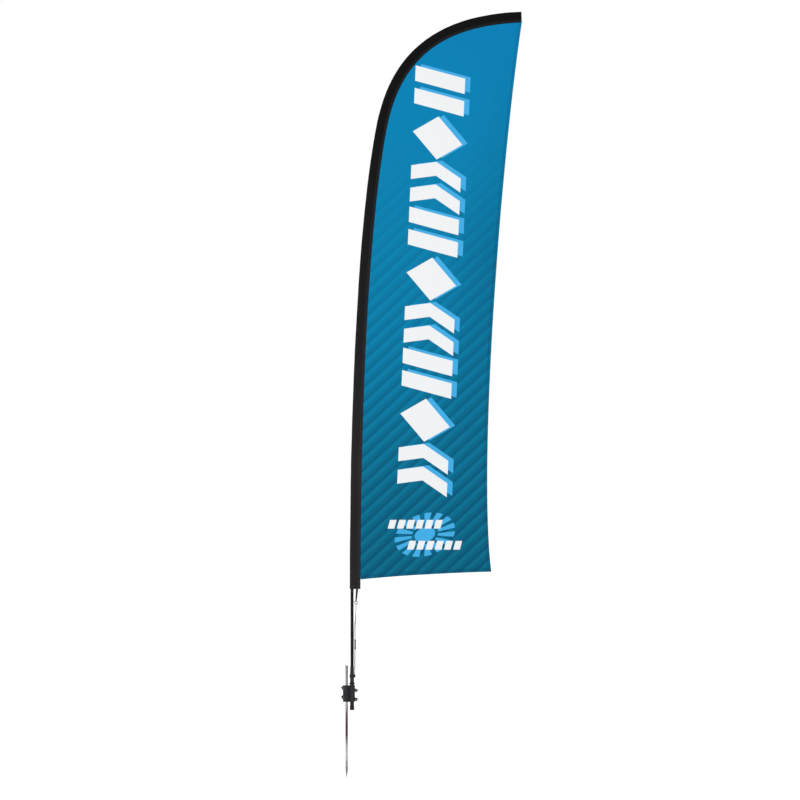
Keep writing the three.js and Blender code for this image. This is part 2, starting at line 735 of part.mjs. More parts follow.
// The free edge, from the tip of the sleeve down to the lower corner
const leech = new THREE.CubicBezierCurve(
  seamTip,
  new THREE.Vector2(seamTip.x + LEECH_TOP_PULL[0], seamTip.y + LEECH_TOP_PULL[1]),
  new THREE.Vector2(CORNER_REACH + LEECH_FOOT_PULL[0], FOOT_HEIGHT + FOOT_RISE + LEECH_FOOT_PULL[1]),
  new THREE.Vector2(CORNER_REACH, FOOT_HEIGHT + FOOT_RISE),
);

// Points of the free edge moved inwards, from the sleeve down to a line above the lower edge
function leechPoints(inset, above) {
  let end = 1;
  let higher = 0.5;
  for (let halving = 0; halving < 40; halving += 1) {
    const middle = (end + higher) / 2;
    const point = leech.getPoint(middle);
    if (point.y > footHeight(point.x - inset) + above) {
      higher = middle;
    } else {
      end = middle;
    }
  }
  const points = [];
  for (let index = 0; index <= LEECH_STEPS; index += 1) {
    const point = leech.getPoint((end * index) / LEECH_STEPS);
    points.push(new THREE.Vector2(point.x - inset, point.y));
  }
  points[0].y = seamHeight(points[0].x);
  return points;
}

// Points of the lower edge moved up, between two values of X
function footPoints(from, to, above) {
  const points = [];
  for (let index = 0; index <= FOOT_STEPS; index += 1) {
    const x = THREE.MathUtils.lerp(from, to, index / FOOT_STEPS);
    points.push(new THREE.Vector2(x, footHeight(x) + above));
  }
  return points;
}

function panelShape() {
  const margin = HEM_WIDTH + GAP;
  const left = AXIS_SPACING + SLEEVE_SEAM + GAP;
  const lowLeft = footHeight(left) + margin;
  const right = leechPoints(margin, margin);
  const seam = seamEdge(GAP, lowLeft + 2).filter((point) => point.x < right[0].x - 2);
  const foot = footPoints(right.at(-1).x, left, margin).slice(1);
  return new THREE.Shape([...seam, ...right, ...foot]);
}

function leechHemShape() {
  const outer = leechPoints(0, 0);
  const inner = leechPoints(HEM_WIDTH, 0);
  return new THREE.Shape([...outer, ...inner.reverse()]);
}

function footHemShape() {
  const left = AXIS_SPACING + SLEEVE_SEAM + GAP;
  const right = CORNER_REACH - HEM_WIDTH - GAP;
  return new THREE.Shape([
    ...footPoints(left, right - 4, 0),
    ...footPoints(right - 4, left, HEM_WIDTH),
  ]);
}

function addFlag() {
  const layers = [
    ["flag_front_panel", -panelPitch, "printedCloth"],
    ["flag_liner", 0, "linerCloth"],
    ["flag_back_panel", panelPitch, "printedCloth"],
  ];
  for (const [name, y, finish] of layers) {
    const half = PANEL_THICKNESS / 2;
    addPart(name, slab(panelShape(), y - half, y + half), finish);
  }
  addPart("leech_hem", slab(leechHemShape(), -flagHalfThickness, flagHalfThickness), "printedCloth");
  addPart("foot_hem", slab(footHemShape(), -flagHalfThickness, flagHalfThickness), "printedCloth");
}

// ---- Tension gear -------------------------------------------------------------------------------

// A folded elastic: two legs that join under the ring's upper wire, sewn to the sleeve at the top
function addElastic() {
  const eye = RING_WIRE + EYE_CLEARANCE;
  const wireHeight = RING_HEIGHT + RING_RADIUS;
  const top = SLEEVE_BOTTOM - GAP;
  const outer = eye + ELASTIC_THICKNESS;
  const low = wireHeight - EYE_DROP;
  const shape = new THREE.Shape();
  shape.moveTo(ELASTIC_SPREAD + ELASTIC_THICKNESS, top);
  shape.lineTo(ELASTIC_SPREAD, top);
  shape.lineTo(eye, wireHeight);
  shape.absarc(0, low, eye, 0, -Math.PI, true);
  shape.lineTo(-eye, wireHeight);
  shape.lineTo(-ELASTIC_SPREAD, top);
  shape.lineTo(-ELASTIC_SPREAD - ELASTIC_THICKNESS, top);
  shape.lineTo(-outer, wireHeight);
  shape.absarc(0, low, outer, -Math.PI, 0, false);
  shape.lineTo(outer, wireHeight);
  shape.closePath();

  const geometry = slab(shape, -ELASTIC_WIDTH / 2, ELASTIC_WIDTH / 2, 8);
  geometry.rotateZ(Math.PI / 2);
  const lean = (ELASTIC_TOP_X - RING_X) / (top - wireHeight);
  const shear = new THREE.Matrix4().makeShear(0, 0, 0, 0, lean, 0);
  geometry.applyMatrix4(shear);
  geometry.translate(RING_X - lean * wireHeight, 0, 0);
  addPart("elastic_loop", geometry, "elastic");
}

function addRing() {
  const geometry = new THREE.TorusGeometry(RING_RADIUS, RING_WIRE, 8, 24);
  geometry.rotateX(Math.PI / 2);
  geometry.translate(RING_X, 0, RING_HEIGHT);
  addPart("tension_ring", geometry, "brightSteel");
}

// A curve whose facets follow its chosen points instead of its length
class CordRoute extends THREE.CatmullRomCurve3 {
  getPointAt(t, target) {
    return this.getPoint(t, target);
  }

  getTangentAt(t, target) {
    return this.getTangent(t, target);
  }
}

const cordRoute = new CordRoute(
  CORD_POINTS.map(([x, y, z]) => new THREE.Vector3(x, y, z)), false, "centripetal",
);

function addCord() {
  const section = new THREE.Shape(circlePoints(CORD_RADIUS, CORD_SIDES));
  addPart("tension_cord", new THREE.ExtrudeGeometry(section, {
    steps: CORD_STEPS,
    extrudePath: cordRoute,
    curveSegments: 1,
  }), "cord");
}

// A crimped sleeve over the cord's outer strand, and the lug band that holds both of its ends
function addCordFittings() {
  const atHeight = (height) => {
    const strand = CORD_POINTS.slice(0, CORD_POINTS.length / 2);
    const upper = strand.findIndex(([, , z]) => z >= height);
    const [x0, y0, z0] = strand[upper - 1];
    const [x1, y1, z1] = strand[upper];
    const share = (height - z0) / (z1 - z0);
    return new THREE.Vector3(x0 + (x1 - x0) * share, y0 + (y1 - y0) * share, height);
  };
  const bore = boreRadius(CORD_RADIUS, TUBE_SIDES);
  const shape = new THREE.Shape(circlePoints(bore + CRIMP_WALL, TUBE_SIDES));
  shape.holes.push(new THREE.Path(circlePoints(bore, TUBE_SIDES)));
  addPart("cord_crimp", new THREE.ExtrudeGeometry(shape, {
    steps: 1,
    extrudePath: new THREE.LineCurve3(atHeight(CRIMP_LOW), atHeight(CRIMP_HIGH)),
    curveSegments: 1,
  }), "blackPlastic");

  const bandBore = boreRadius(socketRadius, ROUND);
  const band = ring(bandBore, bandBore + ANCHOR_WALL, ANCHOR_LOW, ANCHOR_HIGH);
  const lug = box(
    AXIS_SPACING + bandBore, AXIS_SPACING + bandBore + ANCHOR_WALL + ANCHOR_LUG_LENGTH,
    -ANCHOR_LUG_WIDTH / 2, ANCHOR_LUG_WIDTH / 2,
    ANCHOR_LOW, ANCHOR_HIGH,
  );
  const hole = uprightBar(bandBore, AXIS_SPACING, ANCHOR_LOW - 1, ANCHOR_HIGH + 1);
  const solid = toSolid(band).add(toSolid(lug)).subtract(toSolid(hole));
  addPart("cord_anchor", fromSolid(solid), "blackPlastic");
}

addStake();
addClamp();
addSwivel();
addPoleFoot();
addPole();
addTipCap();
addSleeve();
addFlag();
addElastic();
addRing();
addCord();
addCordFittings();

export default group;
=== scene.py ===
"""Sail-shaped banner flag on a curved pole, standing on a clamp-on swivel and a ground stake.

Metres, +Z up. The origin is on the stake's axis at ground level and +X points to the flag.
"""

import json
import math
from functools import reduce

import bmesh
import bpy
from bpy.props import FloatProperty, FloatVectorProperty, IntProperty, PointerProperty
from mathutils import Matrix, Vector, noise
from mathutils.geometry import interpolate_bezier
from mathutils.kdtree import KDTree
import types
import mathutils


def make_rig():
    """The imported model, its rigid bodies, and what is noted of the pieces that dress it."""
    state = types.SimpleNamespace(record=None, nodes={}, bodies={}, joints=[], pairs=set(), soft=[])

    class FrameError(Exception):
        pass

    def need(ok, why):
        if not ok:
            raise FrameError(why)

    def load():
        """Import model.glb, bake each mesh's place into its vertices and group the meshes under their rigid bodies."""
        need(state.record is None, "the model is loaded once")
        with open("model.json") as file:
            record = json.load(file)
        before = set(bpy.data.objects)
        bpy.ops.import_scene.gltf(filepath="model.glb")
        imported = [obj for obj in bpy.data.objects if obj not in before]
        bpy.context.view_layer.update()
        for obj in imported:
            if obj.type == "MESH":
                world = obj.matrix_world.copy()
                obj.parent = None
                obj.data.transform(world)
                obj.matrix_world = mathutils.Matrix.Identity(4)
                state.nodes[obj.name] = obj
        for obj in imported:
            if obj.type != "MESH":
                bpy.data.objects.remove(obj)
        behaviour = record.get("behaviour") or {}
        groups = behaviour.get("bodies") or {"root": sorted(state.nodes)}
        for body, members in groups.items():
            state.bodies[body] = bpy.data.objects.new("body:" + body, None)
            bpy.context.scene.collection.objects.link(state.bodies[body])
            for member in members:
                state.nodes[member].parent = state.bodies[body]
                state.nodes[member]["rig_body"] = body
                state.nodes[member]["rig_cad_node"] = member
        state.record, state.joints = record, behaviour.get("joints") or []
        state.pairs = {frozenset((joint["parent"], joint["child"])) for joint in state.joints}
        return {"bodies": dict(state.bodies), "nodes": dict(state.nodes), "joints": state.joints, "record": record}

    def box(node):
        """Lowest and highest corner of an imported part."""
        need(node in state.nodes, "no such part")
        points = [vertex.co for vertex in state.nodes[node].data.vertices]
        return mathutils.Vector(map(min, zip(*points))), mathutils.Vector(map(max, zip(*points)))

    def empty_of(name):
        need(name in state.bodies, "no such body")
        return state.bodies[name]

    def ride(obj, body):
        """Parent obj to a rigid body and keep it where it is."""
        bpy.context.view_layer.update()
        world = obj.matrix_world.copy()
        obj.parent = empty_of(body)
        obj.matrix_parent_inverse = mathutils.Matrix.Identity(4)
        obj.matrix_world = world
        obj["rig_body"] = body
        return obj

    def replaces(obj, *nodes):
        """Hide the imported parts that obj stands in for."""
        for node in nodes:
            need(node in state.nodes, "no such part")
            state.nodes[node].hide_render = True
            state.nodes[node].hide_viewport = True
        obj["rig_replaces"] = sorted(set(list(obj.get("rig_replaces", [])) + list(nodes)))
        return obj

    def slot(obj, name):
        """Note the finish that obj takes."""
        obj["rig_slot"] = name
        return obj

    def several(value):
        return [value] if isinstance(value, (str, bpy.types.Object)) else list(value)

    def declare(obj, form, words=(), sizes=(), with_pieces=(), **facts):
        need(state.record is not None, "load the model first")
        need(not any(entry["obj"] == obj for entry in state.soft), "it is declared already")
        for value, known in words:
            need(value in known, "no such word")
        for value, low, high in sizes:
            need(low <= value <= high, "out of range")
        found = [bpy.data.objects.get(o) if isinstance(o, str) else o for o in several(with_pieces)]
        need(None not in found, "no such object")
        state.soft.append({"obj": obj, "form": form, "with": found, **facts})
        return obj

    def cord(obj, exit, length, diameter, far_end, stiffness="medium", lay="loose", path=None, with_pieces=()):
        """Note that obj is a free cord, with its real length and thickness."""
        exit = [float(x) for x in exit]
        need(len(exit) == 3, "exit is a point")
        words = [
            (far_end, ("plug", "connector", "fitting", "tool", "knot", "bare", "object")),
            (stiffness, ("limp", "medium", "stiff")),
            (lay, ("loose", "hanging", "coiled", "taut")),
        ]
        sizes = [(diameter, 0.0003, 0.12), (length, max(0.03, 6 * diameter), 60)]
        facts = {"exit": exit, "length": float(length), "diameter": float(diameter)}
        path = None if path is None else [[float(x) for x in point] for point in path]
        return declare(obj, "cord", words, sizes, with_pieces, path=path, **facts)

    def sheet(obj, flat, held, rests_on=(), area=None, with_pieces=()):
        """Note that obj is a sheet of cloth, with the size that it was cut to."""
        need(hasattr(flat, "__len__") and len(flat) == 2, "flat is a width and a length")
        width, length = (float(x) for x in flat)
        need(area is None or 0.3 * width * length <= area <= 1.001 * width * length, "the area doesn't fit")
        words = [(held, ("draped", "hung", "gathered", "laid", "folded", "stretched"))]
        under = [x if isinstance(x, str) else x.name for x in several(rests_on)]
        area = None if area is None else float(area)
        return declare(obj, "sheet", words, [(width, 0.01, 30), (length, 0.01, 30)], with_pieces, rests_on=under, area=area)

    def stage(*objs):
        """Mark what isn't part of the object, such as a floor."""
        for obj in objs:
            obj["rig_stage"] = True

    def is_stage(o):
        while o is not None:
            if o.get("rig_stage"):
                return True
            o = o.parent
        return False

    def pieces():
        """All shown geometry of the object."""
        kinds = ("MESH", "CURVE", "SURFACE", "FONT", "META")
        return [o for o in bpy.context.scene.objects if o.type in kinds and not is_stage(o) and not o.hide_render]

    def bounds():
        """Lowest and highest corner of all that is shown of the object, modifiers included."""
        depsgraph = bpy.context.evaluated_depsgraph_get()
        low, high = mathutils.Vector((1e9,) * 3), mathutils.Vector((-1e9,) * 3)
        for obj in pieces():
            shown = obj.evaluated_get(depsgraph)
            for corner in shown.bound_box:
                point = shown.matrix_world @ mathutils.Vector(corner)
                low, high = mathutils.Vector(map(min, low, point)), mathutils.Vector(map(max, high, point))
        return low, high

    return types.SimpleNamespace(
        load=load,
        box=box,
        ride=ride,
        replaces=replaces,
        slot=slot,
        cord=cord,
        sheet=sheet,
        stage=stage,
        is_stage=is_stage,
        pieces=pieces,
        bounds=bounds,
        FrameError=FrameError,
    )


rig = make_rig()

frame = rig.load()
CAD_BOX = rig.bounds()

bl_info = {
    "name": "Sail-Shaped Banner Flag",
    "version": (1, 0, 0),
    "blender": (4, 5, 0),
    "location": "3D View > Sidebar > Banner",
    "description": "Makes the cloth, cord, clamp, swivel, pole and stake of a banner flag",
    "category": "Add Mesh",
}

FULL_TURN = 2 * math.pi
MM = 0.001

# ---- Places taken from the frame ----


def box_middle(node):
    """Middle of a CAD node's box."""
    low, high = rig.box(node)
    return (low + high) / 2


def span(node, axis="z"):
    """Start and end of a round node along its axis, and its radius, in millimetres."""
    low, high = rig.box(node)
    return getattr(low, axis) / MM, getattr(high, axis) / MM, (high.x - low.x) / 2 / MM


SWIVEL_X = box_middle("spindle_tube").x
STAKE_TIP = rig.box("stake_rod")[0].z
POLE_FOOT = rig.box("pole_lower")[0].z
POLE_RADIUS = SWIVEL_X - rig.box("pole_lower")[0].x
SLEEVE_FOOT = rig.box("sleeve")[0].z

# ---- Lines that the cloth and the cord follow ----

# Pole: where it starts to bend, its shoulder and its tip, with the pull of each end of a curve
BEND_START = Vector((SWIVEL_X, 0, 0.480))
SHOULDER = Vector((SWIVEL_X + 0.105, 0, 2.301))
POLE_TIP = Vector((SWIVEL_X + 0.663, 0, 2.7348))
SHOULDER_LEAN = 0.2
TIP_LEAN = 1.53

TIP_PATCH = 8 * MM
SEAM_REACH = 33 * MM  # from the pole's centre line to the sleeve's seam
SEAM_HALF = 1.6 * MM
SLEEVE_RADIUS = 9 * MM

# Lower edge and free edge of the flag
FOOT_START = Vector((0.054, 0, 0.523))
FREE_CORNER = Vector((0.566, 0, 0.553))
FOOT_BOW = 0.6
FREE_EDGE_PULLS = (Vector((-0.076, 0, -0.500)), Vector((-0.055, 0, 0.443)))

CORD_RADIUS = 1.4 * MM
CORD_ROUTE = (
    (32.3, -1.9, 150.3), (32.4, -1.9, 165), (32.8, -1.8, 190), (33.4, -1.7, 220),
    (33.9, -1.7, 250), (34.3, -1.7, 288), (34.8, -1.8, 330), (35.6, -1.9, 370),
    (36.3, -2.2, 400), (36.7, -3.4, 416), (36.8, -4.8, 422.5), (36.8, -4.6, 427),
    (36.8, -2.6, 430), (36.8, 0, 431), (36.8, 2.6, 430), (36.8, 4.6, 427),
    (36.8, 4.8, 422.5), (36.6, 3.4, 416), (36.1, 2.2, 400), (34.4, 1.9, 375),
    (30.9, 1.9, 345), (29.3, 2, 318), (29.2, 2, 280), (29.4, 2, 240),
    (29.8, 2, 210), (30.5, 2, 187), (31.2, 2, 167), (31.3, 2, 150.3),
)
CRIMPED = 4  # the mark where the crimp starts; it ends at the next one


class Route:
    """A line looked up by the length walked along it."""

    def __init__(self, points):
        self.points = [Vector(point) for point in points]
        self.walked = [0.0]
        for before, after in zip(self.points, self.points[1:]):
            self.walked.append(self.walked[-1] + (after - before).length)
        self.length = self.walked[-1]

    def at(self, length):
        """Point and direction at a length; beyond an end the line runs straight on."""
        low, high = 0, len(self.walked) - 1
        while high - low > 1:
            middle = (low + high) // 2
            if self.walked[middle] <= length:
                low = middle
            else:
                high = middle
        start, end = self.points[low], self.points[low + 1]
        direction = (end - start).normalized()
        return start + direction * (length - self.walked[low]), direction

    def share(self, share):
        return self.at(share * self.length)[0]


def leaning(point, lean, distance):
    return point + Vector((math.sin(lean), 0, math.cos(lean))) * distance


def pole_route():
    foot = Vector((SWIVEL_X, 0, POLE_FOOT))
    straight = [foot.lerp(BEND_START, step / 40) for step in range(40)]
    lower = interpolate_bezier(
        BEND_START, leaning(BEND_START, 0, 0.900),
        leaning(SHOULDER, SHOULDER_LEAN, -0.296), SHOULDER, 400,
    )
    upper = interpolate_bezier(
        SHOULDER, leaning(SHOULDER, SHOULDER_LEAN, 0.353),
        leaning(POLE_TIP, TIP_LEAN, -0.248), POLE_TIP, 300,
    )
    return Route([*straight, *lower, *upper[1:]])


POLE = pole_route()
SLEEVE_START = SLEEVE_FOOT - POLE_FOOT
SLEEVE_END = POLE.length - TIP_PATCH


def beside(length, away, y=0.0):
    """Point beside the pole's centre line, away towards the flag."""
    point, direction = POLE.at(length)
    side = Vector((direction.z, 0, -direction.x))
    return point + side * away + Vector((0, y, 0))


POLE_MARKS = 600


def pole_tree():
    """Even marks along the pole, for finding the nearest one."""
    tree = KDTree(POLE_MARKS)
    for index in range(POLE_MARKS):
        tree.insert(POLE.share(index / (POLE_MARKS - 1)), index)
    tree.balance()
    return tree


POLE_TREE = pole_tree()


def section_parts(radius=SLEEVE_RADIUS, half=SEAM_HALF):
    """Turn at which the sleeve leaves the pole, length of a straight side and of the round part."""
    touch = math.acos((radius - half) / SEAM_REACH)
    straight = math.sqrt(SEAM_REACH ** 2 - (radius - half) ** 2)
    return touch, straight, radius * (FULL_TURN - 2 * touch)


def sleeve_section(share, radius=SLEEVE_RADIUS, half=SEAM_HALF):
    """(away, y) of the sleeve's section, from the front seam round the pole to the back seam."""
    touch, straight, arc = section_parts(radius, half)
    walked = share * (2 * straight + arc)
    mirrored = walked > straight + arc / 2
    if mirrored:
        walked = 2 * straight + arc - walked
    if walked < straight:
        part = walked / straight
        away = SEAM_REACH + (radius * math.cos(touch) - SEAM_REACH) * part
        y = half + (radius * math.sin(touch) - half) * part
    else:
        angle = touch + (walked - straight) / radius
        away, y = radius * math.cos(angle), radius * math.sin(angle)
    return away, y if mirrored else -y


SLEEVE_CUT = 2 * section_parts()[1] + section_parts()[2]


def foot_height(x):
    """Height of the flag's lower edge."""
    share = (x - FOOT_START.x) / (FREE_CORNER.x - FOOT_START.x)
    rise = FREE_CORNER.z - FOOT_START.z
    return FOOT_START.z + rise * share * (1 + FOOT_BOW * (1 - share))


def smooth_step(value, low, high):
    share = min(max((value - low) / (high - low), 0.0), 1.0)
    return share * share * (3 - 2 * share)


class FlagCut:
    """Outline of the flag, or of a smaller one that stops short of the free and lower edges."""

    def __init__(self, inset=0.0, seam_away=SEAM_REACH):
        self.inset = inset
        self.seam_away = seam_away
        tip = beside(POLE.length, SEAM_REACH)
        free_edge = interpolate_bezier(
            tip, tip + FREE_EDGE_PULLS[0], FREE_CORNER + FREE_EDGE_PULLS[1], FREE_CORNER, 500,
        )
        edge = [point - Vector((inset, 0, 0)) for point in free_edge]
        self.edge = Route([point for point in edge if self._over_foot(point)][::-1])
        top = self.edge.points[-1].x
        self.low = self._seam_length(self._over_foot)
        self.high = self._seam_length(lambda point: point.x >= top)
        self.corner = self.edge.points[0]
        self.edge.points[-1] = self.seam(1)

    def _over_foot(self, point):
        return point.z >= foot_height(point.x) + self.inset

    def _seam_length(self, passed):
        """Length along the pole at which the seam has passed a line."""
        low, high = SLEEVE_START, POLE.length
        for _ in range(40):
            middle = (low + high) / 2
            if passed(beside(middle, self.seam_away)):
                high = middle
            else:
                low = middle
        return high

    def seam(self, share):
        return beside(self.low + (self.high - self.low) * share, self.seam_away)

    def foot(self, share):
        x = self.seam(0).x * (1 - share) + self.corner.x * share
        return Vector((x, 0, foot_height(x) + self.inset))

    def at(self, across, up):
        """Point of the flat cut; across runs from seam to free edge, up from foot to tip."""
        side = self.seam(up).lerp(self.edge.share(up), across)
        bow = self.foot(across) - self.foot(0).lerp(self.foot(1), across)
        return side + bow * (1 - up)


# Folds of the stretched flag
FREE_REACH = 0.22  # from the seam to where the cloth billows fully
FAN_FOLDS = 15  # folds that spread from the lower seam corner, in a full turn
FAN_FADE = 0.42
FLUTTER_HEIGHT = 0.46
PUCKER_LENGTH = 0.030
PUCKER_DEPTH = 0.7 * MM
PUCKER_FADE = 0.026


def billow(x, z):
    """How far the stretched cloth stands from its flat plane."""
    amount = bpy.context.scene.banner_cloth.billow
    _, index, distance = POLE_TREE.find(Vector((x, 0, z)))
    away = max(distance - SEAM_REACH, 0.0)
    along = index / (POLE_MARKS - 1) * POLE.length
    broad = noise.noise(Vector((x * 2.4 + 3.1, z * 1.1, 0.7)))
    folds = noise.noise(Vector((x * 7.0 - z * 1.8, z * 1.3 + x * 1.1, 4.2)))
    waves = smooth_step(away, 0.0, FREE_REACH) * (1.1 * broad + 0.55 * folds)

    corner = Vector((x - FOOT_START.x, z - FOOT_START.z, 0))
    fan = math.sin(FAN_FOLDS * math.atan2(corner.y, corner.x + 1e-6))
    fan *= math.exp(-corner.length / FAN_FADE) * smooth_step(corner.length, 0.02, 0.15)
    fan *= smooth_step(away, 0.0, 0.05)

    wander = 0.35 * noise.noise(Vector((z * 1.7, 0, 9.0)))
    flutter = math.sin(FULL_TURN * (z / FLUTTER_HEIGHT + wander))
    flutter *= smooth_step(away, 0.25, 0.52)

    beat = noise.noise(Vector((along * 9, 0, 2.0)))
    pucker = math.sin(FULL_TURN * along / PUCKER_LENGTH + 5 * beat) * (0.6 + beat)
    pucker *= smooth_step(away, 0.0, 0.012) * math.exp(-away / PUCKER_FADE)
    pucker *= smooth_step(z, FOOT_START.z + 0.025, FOOT_START.z + 0.09)
    return amount * (waves + 0.28 * fan + 0.30 * flutter) + PUCKER_DEPTH * pucker


def cord_line(steps=9):
    """The cord's route as close points: a curve through its marks that never overshoots."""
    marks = [Vector(mark) * MM for mark in CORD_ROUTE]
    marks = [2 * marks[0] - marks[1], *marks, 2 * marks[-1] - marks[-2]]
    points = []
    for a, b, c, d in zip(marks, marks[1:], marks[2:], marks[3:]):
        before, here, after = ((q - p).length ** 0.5 for p, q in ((a, b), (b, c), (c, d)))
        start = ((b - a) / before - (c - a) / (before + here) + (c - b) / here) * here
        end = ((c - b) / here - (d - b) / (here + after) + (d - c) / after) * here
        points += interpolate_bezier(b, b + start / 3, c - end / 3, c, steps)[:-1]
    return [*points, marks[-2]]


# ---- Meshes ----


def patch(columns, rows, place, flat=lambda across, up: (across, up)):
    """A grid whose points are put in place by place(across, up), with flat lengths as its UV map."""
    bm = bmesh.new()
    bmesh.ops.create_grid(bm, x_segments=columns, y_segments=rows, size=1)
    low = Vector(map(min, zip(*(vert.co for vert in bm.verts))))
    high = Vector(map(max, zip(*(vert.co for vert in bm.verts))))
    shares = {vert: ((vert.co.x - low.x) / (high.x - low.x), (vert.co.y - low.y) / (high.y - low.y))
              for vert in bm.verts}
    layer = bm.loops.layers.uv.new("Flat")
    for face in bm.faces:
        for loop in face.loops:
            loop[layer].uv = flat(*shares[loop.vert])
    for vert, share in shares.items():
        vert.co = place(*share)
    return bm


def close_up(bm):
    """Merges what meets and turns the faces outwards."""
    bmesh.ops.remove_doubles(bm, verts=bm.verts[:], dist=1e-6)
    bmesh.ops.recalc_face_normals(bm, faces=bm.faces[:])
    return bm


def face_away(bm, inner, face=None):
    """Turns a sheet so that a face, its middle one unless given, looks away from a point."""
    bmesh.ops.recalc_face_normals(bm, faces=bm.faces[:])
    face = face or bm.faces[:][len(bm.faces) // 2]
    if face.normal.dot(face.calc_center_median() - inner) < 0:
        bmesh.ops.reverse_faces(bm, faces=bm.faces[:])
    return bm


def spin_round(bm, verts, edges, centre, axis, steps):
    bmesh.ops.spin(
        bm, geom=[*verts, *edges], axis=axis, cent=centre, dvec=(0, 0, 0), angle=FULL_TURN,
        steps=steps, use_merge=True, use_duplicate=False,
    )
    return close_up(bm)


def lathe(profile, x=0.0, steps=48):
    """(radius, height) points in millimetres spun about the upright line at x."""
    bm = bmesh.new()
    verts = [bm.verts.new((x + radius * MM, 0, height * MM)) for radius, height in profile]
    edges = [bm.edges.new(pair) for pair in zip(verts, verts[1:])]
    if profile[0][0] > 0:
        edges.append(bm.edges.new((verts[-1], verts[0])))
    return spin_round(bm, verts, edges, (x, 0, 0), (0, 0, 1), steps)


def cad_copy(node):
    """A merged copy of a CAD node's mesh with its flat faces made whole again."""
    bm = bmesh.new()
    bm.from_mesh(frame["nodes"][node].data)
    bmesh.ops.remove_doubles(bm, verts=bm.verts[:], dist=1e-6)
    bmesh.ops.dissolve_limit(
        bm, angle_limit=math.radians(1), use_dissolve_boundaries=False,
        verts=bm.verts[:], edges=bm.edges[:], delimit=set(),
    )
    bmesh.ops.recalc_face_normals(bm, faces=bm.faces[:])
    return bm


def tube(route, radius, sides, rows, hint):
    """A round tube along a route; hint is a direction that the route never takes."""

    def place(around, up):
        point, direction = route.at(up * route.length)
        first = (hint - direction * hint.dot(direction)).normalized()
        second = direction.cross(first)
        angle = FULL_TURN * around
        return point + (first * math.cos(angle) + second * math.sin(angle)) * radius

    def flat(around, up):
        return around * FULL_TURN * radius, up * route.length

    return close_up(patch(sides, rows, place, flat))


def upright_to_cross(bm, x, z):
    """Turns an upright shape to point along +Y, about a point on the plane Y = 0."""
    turn = Matrix.Rotation(-math.pi / 2, 4, "X")
    place = Matrix.Translation((x, 0, z))
    bmesh.ops.transform(bm, matrix=place @ turn, verts=bm.verts[:])
    return bm


def add_object(name, data):
    made = bpy.data.objects.new(name, data)
    bpy.context.scene.collection.objects.link(made)
    return made


def make_piece(name, bm, body, node, slot, finish=None, wall=0.0, wall_side=0.0, bevel=0.0,
               segments=2, sharp=35):
    """A piece from a bmesh that rides on a body and stands for a CAD node."""
    mesh = bpy.data.meshes.new(name)
    bm.to_mesh(mesh)
    bm.free()
    mesh.polygons.foreach_set("use_smooth", [True] * len(mesh.polygons))
    mesh.set_sharp_from_angle(angle=math.radians(sharp))
    mesh.materials.append(finish_for(finish or slot))
    piece = add_object(name, mesh)
    if wall:
        solid = piece.modifiers.new("Wall", "SOLIDIFY")
        solid.thickness = wall
        solid.offset = wall_side
        solid.use_even_offset = True
    if bevel:
        edge = piece.modifiers.new("Edges", "BEVEL")
        edge.width = bevel
        edge.segments = segments
        edge.limit_method = "ANGLE"
        edge.angle_limit = math.radians(sharp)
        edge.harden_normals = True
    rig.ride(piece, body)
    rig.replaces(piece, node)
    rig.slot(piece, slot)
    return piece


def flat_area(cut, columns=40, rows=120):
    bm = patch(columns, rows, cut.at)
    area = sum(face.calc_area() for face in bm.faces)
    bm.free()
    return area


# ---- Shader nodes ----

BLACK = (0.0, 0.0, 0.0)


def linear(red, green, blue):
    """A colour given from 0 to 255, as shaders want it."""
    def channel(value):
        value /= 255
        return value / 12.92 if value <= 0.04045 else ((value + 0.055) / 1.055) ** 2.4
    return channel(red), channel(green), channel(blue), 1.0


def math_method(operation, swapped=False):
    """A method of Wire that adds one Math node; swapped puts the wire in second place."""
    def method(self, other=None):
        values = (other, self) if swapped else (self, other)
        return self.finish.node(
            "ShaderNodeMath", {"operation": operation},
            {index: value for index, value in enumerate(values) if value is not None},
        )
    return method


class Wire:
    """A value on its way from node to node, which can be used in sums."""

    def __init__(self, finish, socket):
        self.finish, self.socket = finish, socket

    __add__ = __radd__ = math_method("ADD")
    __sub__ = math_method("SUBTRACT")
    __rsub__ = math_method("SUBTRACT", swapped=True)
    __mul__ = __rmul__ = math_method("MULTIPLY")
    __mod__ = math_method("FLOORED_MODULO")
    __abs__ = math_method("ABSOLUTE")
    sine = math_method("SINE")
    floor = math_method("FLOOR")
    root = math_method("SQRT")
    angle_to = math_method("ARCTAN2")
    most = math_method("MAXIMUM")

    def clamped(self):
        """This value kept from 0 to 1."""
        settings = {"operation": "ADD", "use_clamp": True}
        return self.finish.node("ShaderNodeMath", settings, {0: self, 1: 0.0})

    def within(self, limit, soft=0.0012):
        """1 where the size of this value is under the limit, 0 beyond it, with a soft edge."""
        return ((limit - abs(self)) * (1 / soft) + 0.5).clamped()

    def above(self, limit, soft):
        """0 under the limit and 1 over it, with a soft edge."""
        return ((self - limit) * (1 / soft) + 0.5).clamped()


